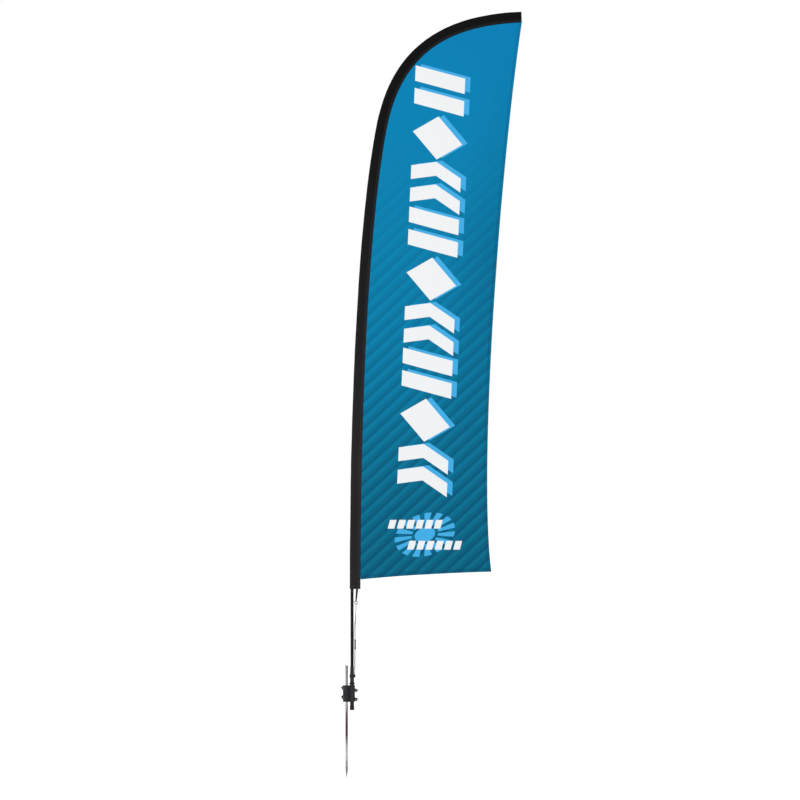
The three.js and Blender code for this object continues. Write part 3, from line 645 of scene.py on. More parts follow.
class Finish:
    """One procedural material."""

    def __init__(self, name):
        self.material = bpy.data.materials.new(name)
        self.material.use_nodes = True
        self.tree = self.material.node_tree
        self.shader = self.tree.nodes["Principled BSDF"]
        self.places = {}

    def node(self, kind, settings=None, sockets=None, output=0):
        """A node with its settings, then its socket values or links."""
        made = self.tree.nodes.new(kind)
        for name, value in (settings or {}).items():
            if name == "stops":
                ramp = made.color_ramp.elements
                while len(ramp) < len(value):
                    ramp.new(0.5)
                for element, (position, colour) in zip(ramp, value):
                    element.position, element.color = position, colour
            else:
                setattr(made, name, value)
        for name, value in (sockets or {}).items():
            self.feed(made.inputs[name], value)
        return Wire(self, made.outputs[output])

    def feed(self, socket, value):
        if isinstance(value, Wire):
            self.tree.links.new(value.socket, socket)
        else:
            socket.default_value = value

    def place(self, source="Object"):
        """The piece's own coordinates as a vector."""
        if source not in self.places:
            self.places[source] = self.node("ShaderNodeTexCoord", output=source)
        return self.places[source]

    def axes(self, source="Object"):
        """The piece's own coordinates as three numbers."""
        split = self.node("ShaderNodeSeparateXYZ", {}, {0: self.place(source)})
        return [Wire(self, socket) for socket in split.socket.node.outputs]

    def noise(self, scale, detail=3.0, rough=0.55, stretch=(1, 1, 1)):
        at = self.node(
            "ShaderNodeMapping", {"vector_type": "POINT"},
            {"Vector": self.place(), "Scale": stretch},
        )
        return self.node(
            "ShaderNodeTexNoise", {"noise_dimensions": "3D"},
            {"Vector": at, "Scale": scale, "Detail": detail, "Roughness": rough},
        )

    def mix(self, factor, first, second):
        """Two colours, from 0 for the first to 1 for the second."""
        return self.node(
            "ShaderNodeMix", {"data_type": "RGBA", "blend_type": "MIX"},
            {0: factor, 6: first, 7: second}, output=2,
        )

    def ramp(self, factor, stops):
        return self.node("ShaderNodeValToRGB", {"stops": stops}, {0: factor})

    def set(self, **values):
        """The material, with values or links for the shader's own sockets, _ for a space."""
        for name, value in values.items():
            self.feed(self.shader.inputs[name.replace("_", " ")], value)
        return self.material

    def finished(self, relief, depth, strength, **values):
        """The material, with a relief as well."""
        sockets = {"Height": relief, "Distance": depth, "Strength": strength}
        return self.set(Normal=self.node("ShaderNodeBump", {}, sockets), **values)


def weave(across, along, pitch):
    """Height of a plain weave, 0 to 1."""
    warp = (across * (FULL_TURN / pitch)).sine()
    weft = (along * (FULL_TURN / pitch)).sine()
    return warp * weft * 0.5 + 0.5


def stitches(across, along, at, period=0.0034, length=0.66, width=0.0005):
    """A row of stitches that runs along at a distance across, 0 to 1."""
    row = (across - at).within(width, 0.0002)
    dash = ((along * (1 / period)) % 1.0 - 0.5).within(length / 2, 0.12)
    return row * dash


# ---- Print on the flag ----

# Column of bold shapes: its foot, lean and skew, half its width, and the cells it is built from
COLUMN_FOOT = 0.870
COLUMN_MIDDLE = (0.297, 0.93)
COLUMN_LEAN = 0.0444
COLUMN_SKEW = 0.268
COLUMN_HALF = 0.098
COLUMN_CELLS = 9
CELL = 0.184
PAIR_REACH = 0.044  # from a cell's middle to the middle of each of its two chevrons or bars
SHADOW_SHIFT = (0.021, 0.005)

# Small emblem under the column
SUN_MIDDLE = (0.306, 0.698)
SUN_RADII = (0.118, 0.084)
SUN_SLANT = 0.18
SUN_RAYS = 15
DASH_ROWS = ((0.160, 0.739), (0.236, 0.657))
DASHES = 6
DASH_PITCH = 0.036
DASH_HEIGHT = 0.034
DASH_LEAN = 0.28

# Diagonal stripes: how steeply they rise, a height that one starts at, and where their strength
# fades out up the flag
STRIPE_RISE = 0.93
STRIPE_START = 0.0285
STRIPE_FADE = (0.55, 1.55)

# Painted shade towards the free edge: where it starts at its height, how far it leans and how wide
# it fades in, then the height where it is darkest and how far up and down it reaches
SHADE_START = (0.33, 1.6)
SHADE_LEAN = 0.2
SHADE_WIDTH = 0.25
SHADE_HEIGHT = 1.8
SHADE_REACH = 0.9


def column_shapes(x, z):
    """Bold slanted chevrons, lozenges and pairs of bars one above the other, 0 to 1."""
    across = x - (COLUMN_MIDDLE[0] + (z - COLUMN_MIDDLE[1]) * COLUMN_LEAN)
    up = (z + across * COLUMN_SKEW - COLUMN_FOOT) * (1 / CELL)
    place = (up % 1.0 - 0.5) * CELL
    kind = up.floor() % 3.0
    sides = across.within(COLUMN_HALF)
    bent = place + (abs(across) - COLUMN_HALF / 2) * 0.4
    chevrons = (abs(bent) - PAIR_REACH).within(0.027) * sides
    lozenge = (abs(across) * (1 / COLUMN_HALF) + abs(place) * (1 / 0.084)).within(1.0, 0.02)
    bars = (abs(place) - PAIR_REACH).within(0.030) * sides
    shapes = sum(
        shape * (kind - float(number)).within(0.5, 0.01)
        for number, shape in enumerate((chevrons, lozenge, bars))
    )
    return shapes * (up - COLUMN_CELLS / 2).within(COLUMN_CELLS / 2, 0.002)


def sunburst(x, z):
    """A leaning oval sun: a solid heart with a ring of rays round it, 0 to 1."""
    across = (x - SUN_MIDDLE[0]) * (1 / SUN_RADII[0])
    up = ((z - SUN_MIDDLE[1]) - (x - SUN_MIDDLE[0]) * SUN_SLANT) * (1 / SUN_RADII[1])
    reach = (across * across + up * up).root()
    turn = up.angle_to(across) * (SUN_RAYS / FULL_TURN)
    ray = ((turn % 1.0) - 0.5).within(0.29, 0.03)
    return ((reach - 0.72).within(0.28, 0.02) * ray).most(reach.within(0.34, 0.02))


def slanted_dashes(x, z, start):
    """A row of short slanted dashes, 0 to 1."""
    up = z - start[1]
    along = (x - start[0] - up * DASH_LEAN) * (1 / DASH_PITCH)
    dash = ((along % 1.0) - 0.5).within(0.36, 0.03)
    return up.within(DASH_HEIGHT / 2) * dash * (along - DASHES / 2).within(DASHES / 2, 0.02)


def diagonal_stripes(x, z, pitch):
    """Stripes of a dark, a middle and a light band, 1 where they are darkest."""
    rise = ((z - x * STRIPE_RISE - STRIPE_START) * (1 / pitch)) % 1.0
    lighter = rise.above(0.30, 0.12) * 0.45 + rise.above(0.62, 0.12) * 0.55
    fade = (1.12 - (z - STRIPE_FADE[0]) * (1 / STRIPE_FADE[1])).clamped()
    return (rise.above(0.985, 0.03) + 1.0 - lighter) * fade


def painted_free_edge_shade(x, z):
    """Painted shade, 0 to 1, darkest at the free edge a little above its middle."""
    start = x - SHADE_START[0] - (z - SHADE_START[1]) * SHADE_LEAN
    sideways = (start * (1 / SHADE_WIDTH)).clamped()
    return sideways * (1 - abs(z - SHADE_HEIGHT) * (1 / SHADE_REACH)).clamped()


def printed_colour(finish, painted_hem_shade):
    """The print, a graded ground with diagonal stripes, a column of shapes and a small emblem, under painted shade."""
    dye = bpy.context.scene.banner_print
    x, _, z = finish.axes()
    colour = finish.ramp((z - 0.5) * (1 / 2.25), [
        (0.0, (*dye.ground_foot, 1)), (0.2, (*dye.ground_low, 1)),
        (0.42, (*dye.ground_middle, 1)), (0.7, (*dye.ground_high, 1)),
        (1.0, (*dye.ground_tip, 1)),
    ])
    mottle = finish.noise(14, 4, 0.6) - 0.5
    stripes = diagonal_stripes(x, z, dye.stripe_pitch) * dye.stripe_depth + mottle * 0.05
    shadow = column_shapes(x - SHADOW_SHIFT[0], z - SHADOW_SHIFT[1])
    dashes = slanted_dashes(x, z, DASH_ROWS[0]).most(slanted_dashes(x, z, DASH_ROWS[1]))
    layers = [
        (stripes.clamped(), dye.stripe),
        # Painted shade towards the free edge
        (painted_free_edge_shade(x, z) * dye.shading, BLACK),
        (shadow.most(sunburst(x, z)), dye.pale),
        (column_shapes(x, z).most(dashes), dye.white),
    ]
    # Painted shade over the whole piece, asked for on the turned edges
    if painted_hem_shade:
        layers.append((painted_hem_shade, BLACK))
    for amount, dyed in layers:
        colour = finish.mix(amount, colour, (*dyed, 1))
    return colour


def printed_cloth(name, painted_hem_shade=0.0, stitched=False):
    """Knitted flag cloth with its print, a little creased, with painted shade where asked."""
    finish = Finish(name)
    x, _, z = finish.axes()
    colour = printed_colour(finish, painted_hem_shade)
    knit = weave(x + z * 0.5, z, 0.0016)
    slub = finish.noise(900, 2, 0.5, (1, 1, 0.25))
    creases = finish.noise(20, 2, 0.5, (1, 1, 0.5))
    relief = knit * 0.7 + slub * 0.3 + creases * 26
    if stitched:
        across, along, _ = finish.axes("UV")
        rows = stitches(across, along, 0.0022).most(stitches(across, along, 0.0226))
        colour = finish.mix(rows * 0.75, colour, linear(10, 60, 84))
        relief = relief + rows * 2.2
    return finish.finished(
        relief, 0.00012, 0.7, Base_Color=colour, Roughness=finish.noise(35, 3) * 0.16 + 0.62,
        Specular_IOR_Level=0.06, Sheen_Weight=0.02, Sheen_Roughness=0.5)


# ---- Other finishes ----


def plain_cloth(name, dark, light, pitch, seams=(), mouth_seam=None):
    """A dark woven cloth, with rows of stitches along it and round its mouth where asked for."""
    finish = Finish(name)
    across, along, _ = finish.axes("UV")
    _, _, z = finish.axes()
    body = weave(across, along, pitch)
    worn = finish.noise(9, 5, 0.65)
    fuzz = finish.noise(420, 2, 0.6)
    # Paler towards the bottom
    lower_paleness = (1 - (z - 0.9) * (1 / 1.5)).clamped()
    pale = ((body * 0.35 + worn * 0.5 + fuzz * 0.3 - 0.1) * lower_paleness).clamped()
    colour = finish.mix(pale, linear(*dark), linear(*light))
    relief = body + fuzz * 0.4
    rows = [stitches(across, along, at) for at in seams]
    if mouth_seam is not None:
        rows.append(stitches(along, across, mouth_seam))
    if rows:
        thread = reduce(Wire.most, rows)
        colour = finish.mix(thread * 0.8, colour, linear(74, 74, 78))
        relief = relief + thread * 2.5
    return finish.finished(
        relief, 0.00018, 0.8, Base_Color=colour, Roughness=worn * 0.15 + 0.72,
        Specular_IOR_Level=0.10, Sheen_Weight=0.03, Sheen_Roughness=0.4)


def braid(name, dark, light, strands=6, lay=0.35 / 0.0011):
    """A braided cord: crossing strands that wind round it, darker towards the top, with painted shade between the
    strands.
    """
    finish = Finish(name)
    around, along, _ = finish.axes("UV")
    _, _, z = finish.axes()
    turn = around * (strands / (FULL_TURN * CORD_RADIUS))
    climb = along * lay
    one, other = (((turn + climb) * math.pi).sine(), ((turn - climb) * math.pi).sine())
    crossing = abs(one).most(abs(other))
    # Darker towards the top and in random patches; the grooves between the strands get painted shade
    top_darkening_and_mottle = ((z - 0.30) * (1 / 0.12)).clamped() * 0.35 + finish.noise(160, 3) * 0.35
    colour = finish.mix(
        (top_darkening_and_mottle + (1 - crossing) * 0.5).clamped(), linear(*light), linear(*dark))
    return finish.finished(
        crossing + finish.noise(2500, 2) * 0.3, 0.00025, 0.9, Base_Color=colour,
        Roughness=0.62, Specular_IOR_Level=0.3, Sheen_Weight=0.1)


def webbing(name, dark, light, rib_pitch=0.0011, pick_pitch=0.0007):
    """A ribbed elastic."""
    finish = Finish(name)
    across, along, _ = finish.axes("UV")
    ribs = abs((across * (math.pi / rib_pitch)).sine())
    picks = (along * (FULL_TURN / pick_pitch)).sine() * 0.5 + 0.5
    colour = finish.mix((ribs * 0.4 + picks * 0.25).clamped(), linear(*dark), linear(*light))
    return finish.finished(
        ribs + picks * 0.35, 0.0002, 0.9, Base_Color=colour,
        Roughness=finish.noise(200, 2) * 0.15 + 0.68, Specular_IOR_Level=0.2, Sheen_Weight=0.1)


def moulded(name, base, worn, grain=1400, gloss=0.42, amount=0.35):
    """Moulded plastic or rubber with a fine grain, scuffs and paler rubbed patches."""
    finish = Finish(name)
    scuff = finish.noise(420, 8, 0.75)
    rubbed = (scuff - 0.54).above(0.0, 0.3) * amount
    pits = finish.noise(grain, 2, 0.5)
    scratches = finish.noise(700, 2, 0.6, (1, 1, 0.04))
    return finish.finished(
        pits * 0.6 + scratches * 0.4 - rubbed * 0.5, 0.00006, 0.8,
        Base_Color=finish.mix(rubbed, linear(*base), linear(*worn)),
        Roughness=scuff * 0.25 + gloss, Specular_IOR_Level=0.2)


def metal(name, base, dull):
    """Bare metal with drawing marks and dull patches."""
    finish = Finish(name)
    marks = finish.noise(1800, 3, 0.6, (1, 1, 0.03))
    patches = finish.noise(60, 5, 0.65)
    return finish.finished(
        marks, 0.00003, 0.7, Metallic=0.95,
        Base_Color=finish.mix(
            (patches * 0.7 + marks * 0.2).clamped(), linear(*base), linear(*dull)),
        Roughness=patches * 0.22 + marks * 0.12 + 0.24)


def stake_steel(name, *stops):
    """Drawn steel whose colour changes along the stake with painted reflection: pale highlight bands and a dark
    pinkish band.
    """
    finish = Finish(name)
    _, _, z = finish.axes()
    drift = (finish.noise(22, 3) - 0.5) * 0.03
    height = (z - STAKE_TIP) * (1 / (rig.box("stake_head")[1].z - STAKE_TIP)) + drift
    # Painted reflection along the stake: pale highlights round a dark pinkish band
    painted_reflection = finish.ramp(height, [(at, linear(*colour)) for at, colour in stops])
    marks = finish.noise(1500, 3, 0.6, (1, 1, 0.02))
    grime = finish.noise(75, 6, 0.7)
    colour = finish.mix((grime - 0.55).above(0.0, 0.2) * 0.45, painted_reflection, linear(70, 64, 60))
    return finish.finished(
        marks, 0.00003, 0.8, Base_Color=colour, Metallic=0.85,
        Roughness=marks * 0.12 + grime * 0.2 + 0.22, Specular_IOR_Level=0.1,
        Specular_Tint=(0.35, 0.34, 0.35, 1))


def powder_coat(name, base, bare):
    """Black paint with a slight orange peel, chipped through to metal in a few places."""
    finish = Finish(name)
    peel = finish.noise(900, 2, 0.5)
    chips = (finish.noise(240, 5, 0.7) - 0.67).above(0.0, 0.02)
    return finish.finished(
        peel * 0.5 - chips, 0.00007, 0.8, Metallic=chips * 0.9,
        Base_Color=finish.mix(chips, linear(*base), linear(*bare)),
        Roughness=peel * 0.12 + 0.34, Specular_IOR_Level=0.2)


def fibreglass(name, base, light):
    """Pultruded black rod: fine streaks along its length under a satin coat."""
    finish = Finish(name)
    streaks = finish.noise(1600, 3, 0.6, (1, 1, 0.015))
    hand = finish.noise(40, 4, 0.6)
    colour = finish.mix(
        (streaks * 0.6 + hand * 0.3 - 0.15).clamped(), linear(*base), linear(*light))
    return finish.finished(
        streaks, 0.00004, 0.7, Base_Color=colour, Roughness=hand * 0.18 + 0.34,
        Specular_IOR_Level=0.06)


# Each finish: what makes it, then its colours from 0 to 255 and its sizes
FINISHES = {
    "printed_cloth": (printed_cloth,),
    # The turned edges: the print with painted shade over it, and stitches
    "hem_cloth": (printed_cloth, 0.10, True),
    "liner_cloth": (plain_cloth, (40, 42, 46), (64, 66, 70), 0.0014),
    "sleeve_cloth": (
        plain_cloth, (8, 7, 8), (48, 45, 47), 0.0012,
        (0.0035, 0.0085, SLEEVE_CUT - 0.0035, SLEEVE_CUT - 0.0085), 0.0105,
    ),
    "elastic_webbing": (webbing, (12, 12, 13), (40, 40, 42)),
    "braided_cord": (braid, (84, 84, 86), (204, 205, 204)),
    "bright_steel": (metal, (206, 208, 210), (150, 152, 155)),
    "black_steel": (metal, (62, 62, 66), (118, 118, 122)),
    "ring_steel": (metal, (128, 128, 132), (84, 84, 88)),
    "crimp_plastic": (moulded, (62, 62, 64), (120, 120, 122)),
    "clamp_plastic": (moulded, (23, 23, 26), (74, 74, 78)),
    "cap_rubber": (moulded, (16, 16, 17), (52, 52, 54), 900, 0.62, 0.3),
    "bush_plastic": (moulded, (226, 226, 220), (186, 184, 176), 1100, 0.38, 0.4),
    "spindle_paint": (powder_coat, (18, 18, 20), (150, 150, 152)),
    "pole_fibreglass": (fibreglass, (8, 8, 9), (40, 40, 43)),
    # Colour stops from the stake's tip up: steel with painted reflection, pale highlights and a pinkish band
    "stake_steel": (
        stake_steel, (0.0, (128, 128, 130)), (0.10, (142, 142, 144)),
        (0.20, (186, 186, 188)), (0.30, (160, 159, 160)), (0.35, (112, 103, 107)),
        (0.38, (72, 42, 55)), (0.50, (82, 50, 64)), (0.57, (104, 74, 86)),
        (0.64, (166, 150, 156)), (0.70, (196, 192, 194)), (0.80, (146, 146, 150)),
        (1.0, (136, 136, 141)),
    ),
}
MADE_FINISHES = {}


def finish_for(name):
    """The material of one finish, made when it is first asked for."""
    if name not in MADE_FINISHES:
        maker, *choices = FINISHES[name]
        MADE_FINISHES[name] = maker(name, *choices)
    return MADE_FINISHES[name]


def paint_nodes(**slots):
    """Gives carried-over CAD nodes their procedural materials."""
    for node, slot in slots.items():
        for place in frame["nodes"][node].material_slots:
            place.material = finish_for(slot)


# ---- Settings ----


def amount_setting(name, description, value, **more):
    return FloatProperty(name=name, description=description, default=value, min=0, **more)


def length_setting(name, description, value):
    return amount_setting(name, description, value, unit="LENGTH", precision=5)


def share_setting(name, description, value):
    return amount_setting(name, description, value, max=1, subtype="FACTOR")


def colour_setting(name, description, *colour):
    return FloatVectorProperty(name=name, description=description, subtype="COLOR", size=3, min=0,
                               max=1, default=linear(*colour)[:3])


class ClothSizes(bpy.types.PropertyGroup):
    """Sizes of the sewn pieces"""

    billow: length_setting("Billow", "How far the flag stands from its flat plane", 6.5 * MM)
    layer_thickness: length_setting("Layer thickness", "Thickness of one printed layer", 0.4 * MM)
    layer_pitch: length_setting("Layer pitch", "From one layer of the flag to the next", 0.7 * MM)
    hem_width: length_setting("Hem width", "Width of the turned edges", 12 * MM)
    sleeve_wall: length_setting("Sleeve thickness", "Thickness of the sleeve's cloth", 0.6 * MM)
    sleeve_slack: length_setting("Sleeve slack", "How unevenly the sleeve lies", 0.8 * MM)


class PrintColours(bpy.types.PropertyGroup):
    """Colours and stripes of the print, and its painted shade"""

    ground_tip: colour_setting("Tip", "Ground colour at the tip", 1, 118, 170)
    ground_high: colour_setting("Upper part", "Ground colour of the upper part", 1, 119, 163)
    ground_middle: colour_setting("Middle", "Ground colour of the middle", 1, 117, 157)
    ground_low: colour_setting("Lower part", "Ground colour of the lower part", 2, 106, 138)
    ground_foot: colour_setting("Foot", "Ground colour at the lower edge", 3, 97, 124)
    stripe: colour_setting("Stripes", "Colour of the diagonal stripes", 0, 66, 98)
    pale: colour_setting("Pale blue", "Second colour of the shapes", 62, 160, 212)
    white: colour_setting("White", "First colour of the shapes", 221, 223, 224)
    stripe_pitch: length_setting("Stripe pitch", "Height from stripe to stripe", 53.5 * MM)
    stripe_depth: share_setting("Stripe depth", "Strength of the stripes at the lower edge", 0.66)
    # Strength of the painted shade at the free edge
    shading: share_setting("Shading", "How much darker the print is at its free edge", 0.27)


class HardwareSizes(bpy.types.PropertyGroup):
    """Edges and roundness of the hard pieces"""

    edge: length_setting("Edge", "Rounding of moulded edges", 0.7 * MM)
    fine_edge: length_setting("Fine edge", "Rounding of machined edges", 0.3 * MM)
    thread_pitch: length_setting("Thread pitch", "From thread to thread on the bolts", 0.8 * MM)
    sides: IntProperty(name="Sides", description="Facets of a round piece", default=48, min=12)


class StageSettings(bpy.types.PropertyGroup):
    """Floor, light and camera"""

    floor: colour_setting("Floor", "Colour of the floor", 255, 255, 255)
    ambient: amount_setting("Ambient", "Strength of the light from all round", 0.6)
    floor_glow: amount_setting("Floor glow", "Light that the floor gives off", 0.45)
    key: amount_setting("Key light", "Power of the large front light", 132, unit="POWER")
    fill: amount_setting("Fill light", "Power of the side light", 16, unit="POWER")
    camera_distance: length_setting("Camera distance", "From the camera to the flag", 7.4)
    view_width: length_setting("View width", "Width that the camera takes in", 3.13)


# ---- Camera and cord ----


class BANNER_OT_camera(bpy.types.Operator):
    """Put the camera straight in front of the flag"""

    bl_idname = "banner.camera"
    bl_label = "Camera"

    def execute(self, context):
        stage = context.scene.banner_stage
        data = bpy.data.cameras.new("camera")
        data.lens = data.sensor_width * stage.camera_distance / stage.view_width
        data.clip_end = 100
        camera = add_object("camera", data)
        camera.location = (0.2086, -stage.camera_distance, 1.225)
        camera.rotation_euler = (math.pi / 2, 0, 0)
        context.scene.camera = camera
        return {"FINISHED"}


class BANNER_OT_tension_cord(bpy.types.Operator):
    """Make the cord through the ring, its crimp and the lug that holds its ends"""

    bl_idname = "banner.tension_cord"
    bl_label = "Tension Cord"

    def execute(self, context):
        sizes = context.scene.banner_hardware
        points = cord_line()
        route = Route(points)
        bm = tube(route, CORD_RADIUS, 16, 300, Vector((1, 0, 0)))
        ends = [edge for edge in bm.edges if edge.is_boundary]
        bmesh.ops.holes_fill(bm, edges=ends, sides=0)
        bmesh.ops.recalc_face_normals(bm, faces=bm.faces[:])
        cord = make_piece("tension_cord_braid", bm, "pole", "tension_cord", "braided_cord",
                          sharp=60)
        crimp = self.crimp()
        make_piece("cord_anchor_band", cad_copy("cord_anchor"), "pole", "cord_anchor",
                   "clamp_plastic", bevel=sizes.edge * 0.7)
        self.ring(sizes.sides)
        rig.cord(cord, exit=points[0], length=route.length, diameter=2 * CORD_RADIUS,
                far_end="object", stiffness="limp", lay="taut", path=points,
                with_pieces=[crimp])
        return {"FINISHED"}

    def crimp(self):
        """The waisted sleeve on the front strand, along one stretch of the cord's route."""
        start, end = (Vector(mark) * MM for mark in CORD_ROUTE[CRIMPED:CRIMPED + 2])
        bore, waist, outer, length = 1.6, 2.3, 2.66, 38
        profile = [(bore, 0), (waist, 0), (outer, 0.6), (outer, 8)]
        for middle in (11, 19, 27):
            profile += [(waist, middle - 1.8), (waist - 0.1, middle), (waist, middle + 1.8),
                        (outer, middle + 3)]
        profile += [(outer, length - 0.6), (waist, length), (bore, length)]
        bm = lathe(profile, 0.0, 24)
        lean = (end - start).to_track_quat("Z", "Y").to_matrix().to_4x4()
        bmesh.ops.transform(bm, matrix=Matrix.Translation(start) @ lean, verts=bm.verts[:])
        return make_piece("cord_crimp_sleeve", bm, "pole", "cord_crimp", "clamp_plastic",
                          "crimp_plastic", sharp=50)

    def ring(self, steps):
        low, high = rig.box("tension_ring")
        middle = (low + high) / 2
        wire = (high.y - low.y) / 2
        bm = bmesh.new()
        place = Matrix.Translation((high.x - wire, middle.y, middle.z))
        made = bmesh.ops.create_circle(bm, segments=14, radius=wire, matrix=place)
        spin_round(bm, made["verts"], bm.edges[:], middle, (0, 1, 0), steps)
        make_piece("tension_ring_wire", bm, "pole", "tension_ring", "bright_steel",
                   "ring_steel", sharp=60)


# ---- Cloth ----


# Sleeve: gathers on the inside of its bend, how far round the pole it counts as round, and how much
# the fold at its mouth adds
GATHER_LENGTH = 0.017
GATHER_DEPTH = 0.7 * MM
ROUND_REACH = 4 * MM
MOUTH_FOLD = 0.4 * MM


class BANNER_OT_sleeve(bpy.types.Operator):
    """Make the sleeve round the pole and the patch that closes its end"""

    bl_idname = "banner.sleeve"
    bl_label = "Sleeve"

    def execute(self, context):
        sizes = context.scene.banner_cloth
        length = SLEEVE_END - SLEEVE_START

        def bend_at(along):
            return 1 - POLE.at(along - 0.05)[1].dot(POLE.at(along + 0.05)[1])

        def place(around, up):
            along = SLEEVE_START + up * length
            away, y = sleeve_section(around)
            front = -1 if y < 0 else 1
            loose = math.sin(math.pi * min(max(away / SEAM_REACH, 0), 1))
            ease = noise.noise(Vector((along * 11, front * 3.3, away * 40)))
            fine = noise.noise(Vector((along * 46, front * 1.7, away * 70)))
            wander = noise.noise(Vector((along * 5, 7.7, 0)))
            sag = sizes.sleeve_slack * loose * (1.4 + 1.3 * ease + 0.7 * fine)
            gather = math.sin(FULL_TURN * along / GATHER_LENGTH + 4 * ease)
            gather *= GATHER_DEPTH * loose * min(bend_at(along) * 160, 1.0)
            y -= front * (sag - gather)
            grow = 1.0
            if away < ROUND_REACH:
                lump = sizes.sleeve_slack * (0.8 * wander + 0.5 * ease + 0.35 * fine)
                grow += lump / SLEEVE_RADIUS
            if away < SEAM_REACH - 3 * MM:
                grow += MOUTH_FOLD * (1 - smooth_step(up * length, 0.011, 0.0125)) / SLEEVE_RADIUS
            return beside(along, away * grow if away < ROUND_REACH else away, y * grow)

        bm = patch(44, 620, place, lambda around, up: (around * SLEEVE_CUT, up * length))
        face_away(bm, beside(SLEEVE_START + length / 2, 0.010))
        sleeve = make_piece("pole_sleeve", bm, "pole", "sleeve", "sleeve_cloth",
                            wall=sizes.sleeve_wall, wall_side=-1, sharp=80)
        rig.sheet(sleeve, flat=(SLEEVE_CUT, length), held="folded",
                 rests_on=["pole_middle", "pole_tip"], with_pieces=[self.end_patch()])
        return {"FINISHED"}

    def end_patch(self):
        """A second layer round the sleeve's end, pressed flat where it is sewn shut."""
        overlap = 1.5 * MM

        def place(around, up):
            away, y = sleeve_section(around, SLEEVE_RADIUS + 0.3 * MM, 1.3 * MM)
            along = SLEEVE_END - overlap + up * (TIP_PATCH + overlap)
            return beside(along, away, y * (1 - 0.82 * smooth_step(up, 0.25, 1.0)))

        bm = patch(36, 12, place, lambda around, up: (around * SLEEVE_CUT, up * TIP_PATCH))
        face_away(bm, beside(SLEEVE_END, 0.010))
        return make_piece("sleeve_end_patch", bm, "pole", "sleeve_tip_patch", "sleeve_cloth",
                          wall=0.5 * MM, wall_side=-1, sharp=80)


TUCK = 4 * MM  # of the layers into the sleeve and the turned edges
TUCK_OF_HEM = 3 * MM
SEAM_ALLOWANCE = 20 * MM


class BANNER_OT_flag(bpy.types.Operator):
    """Make the two printed panels, the liner between them and the turned edges"""

    bl_idname = "banner.flag"
    bl_label = "Flag"

    def execute(self, context):
        sizes = context.scene.banner_cloth
        cut = FlagCut(sizes.hem_width - TUCK, SEAM_REACH - TUCK)
        low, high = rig.box("flag_front_panel")
        cut_size = (high.x - low.x + SEAM_ALLOWANCE, high.z - low.z + SEAM_ALLOWANCE)
        area = flat_area(cut)
        hems = [self.free_hem(sizes), self.foot_hem(sizes)]
        layers = [
            self.layer(cut, sizes, "front_panel_cloth", -1, "flag_front_panel", "printed_cloth"),
            self.layer(cut, sizes, "liner_layer", 0, "flag_liner", "liner_cloth"),
            self.layer(cut, sizes, "back_panel_cloth", 1, "flag_back_panel", "printed_cloth"),
        ]
        for piece, going in zip(layers, (hems, [], [])):
            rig.sheet(piece, flat=cut_size, held="stretched", area=area,
                     rests_on=["pole_sleeve"], with_pieces=going)
        return {"FINISHED"}

    def layer(self, cut, sizes, name, number, node, slot):
        """One of the flag's layers, -1 for the front, 0 for the liner and 1 for the back."""
        def place(across, up):
            point = cut.at(across, up)
            point.y = billow(point.x, point.z) + number * sizes.layer_pitch
            return point

        def flat(across, up):
            return cut.at(across, up).xz

        return make_piece(name, close_up(patch(76, 360, place, flat)), "pole", node, slot,
                          wall=sizes.layer_thickness, sharp=80)

    def hem(self, name, node, line, inward, sizes):
        """A strip folded over an edge: line(share) is the edge, inward the way into the flag."""
        half = 1.4 * MM
        route = Route([line(step / 400) for step in range(401)])
        cut = 2 * sizes.hem_width

        def place(across, up):
            walked = (across - 0.5) * cut
            depth = abs(walked)
            fold = math.sin(min(depth / half, 1) * math.pi / 2) * (1 if walked > 0 else -1)
            ripple = 0.2 * MM * noise.noise(Vector((up * route.length * 60, depth * 90, 5.0)))
            point = route.at(up * route.length)[0] + inward * depth
            point.y = billow(point.x, point.z) + half * fold + ripple
            return point

        bm = patch(22, 330, place, lambda across, up: (across * cut, up * route.length))
        front = max(bm.faces, key=lambda face: -face.calc_center_median().y)
        face_away(bm, front.calc_center_median() + Vector((0, 1, 0)), front)
        return make_piece(name, bm, "pole", node, "printed_cloth", "hem_cloth",
                          wall=0.35 * MM, wall_side=-1, sharp=80)

    def free_hem(self, sizes):
        edge = FlagCut().edge
        top = 1 + TUCK_OF_HEM / edge.length
        return self.hem("free_edge_hem", "leech_hem", lambda share: edge.share(share * top),
                        Vector((-1, 0, 0)), sizes)

    def foot_hem(self, sizes):
        start = beside(SLEEVE_START, SEAM_REACH).x + 0.5 * MM
        end = FREE_CORNER.x - sizes.hem_width + TUCK_OF_HEM

        def line(share):
            x = start + (end - start) * share
            return Vector((x, 0, foot_height(x)))

        return self.hem("foot_edge_hem", "foot_hem", line, Vector((0, 0, 1)), sizes)


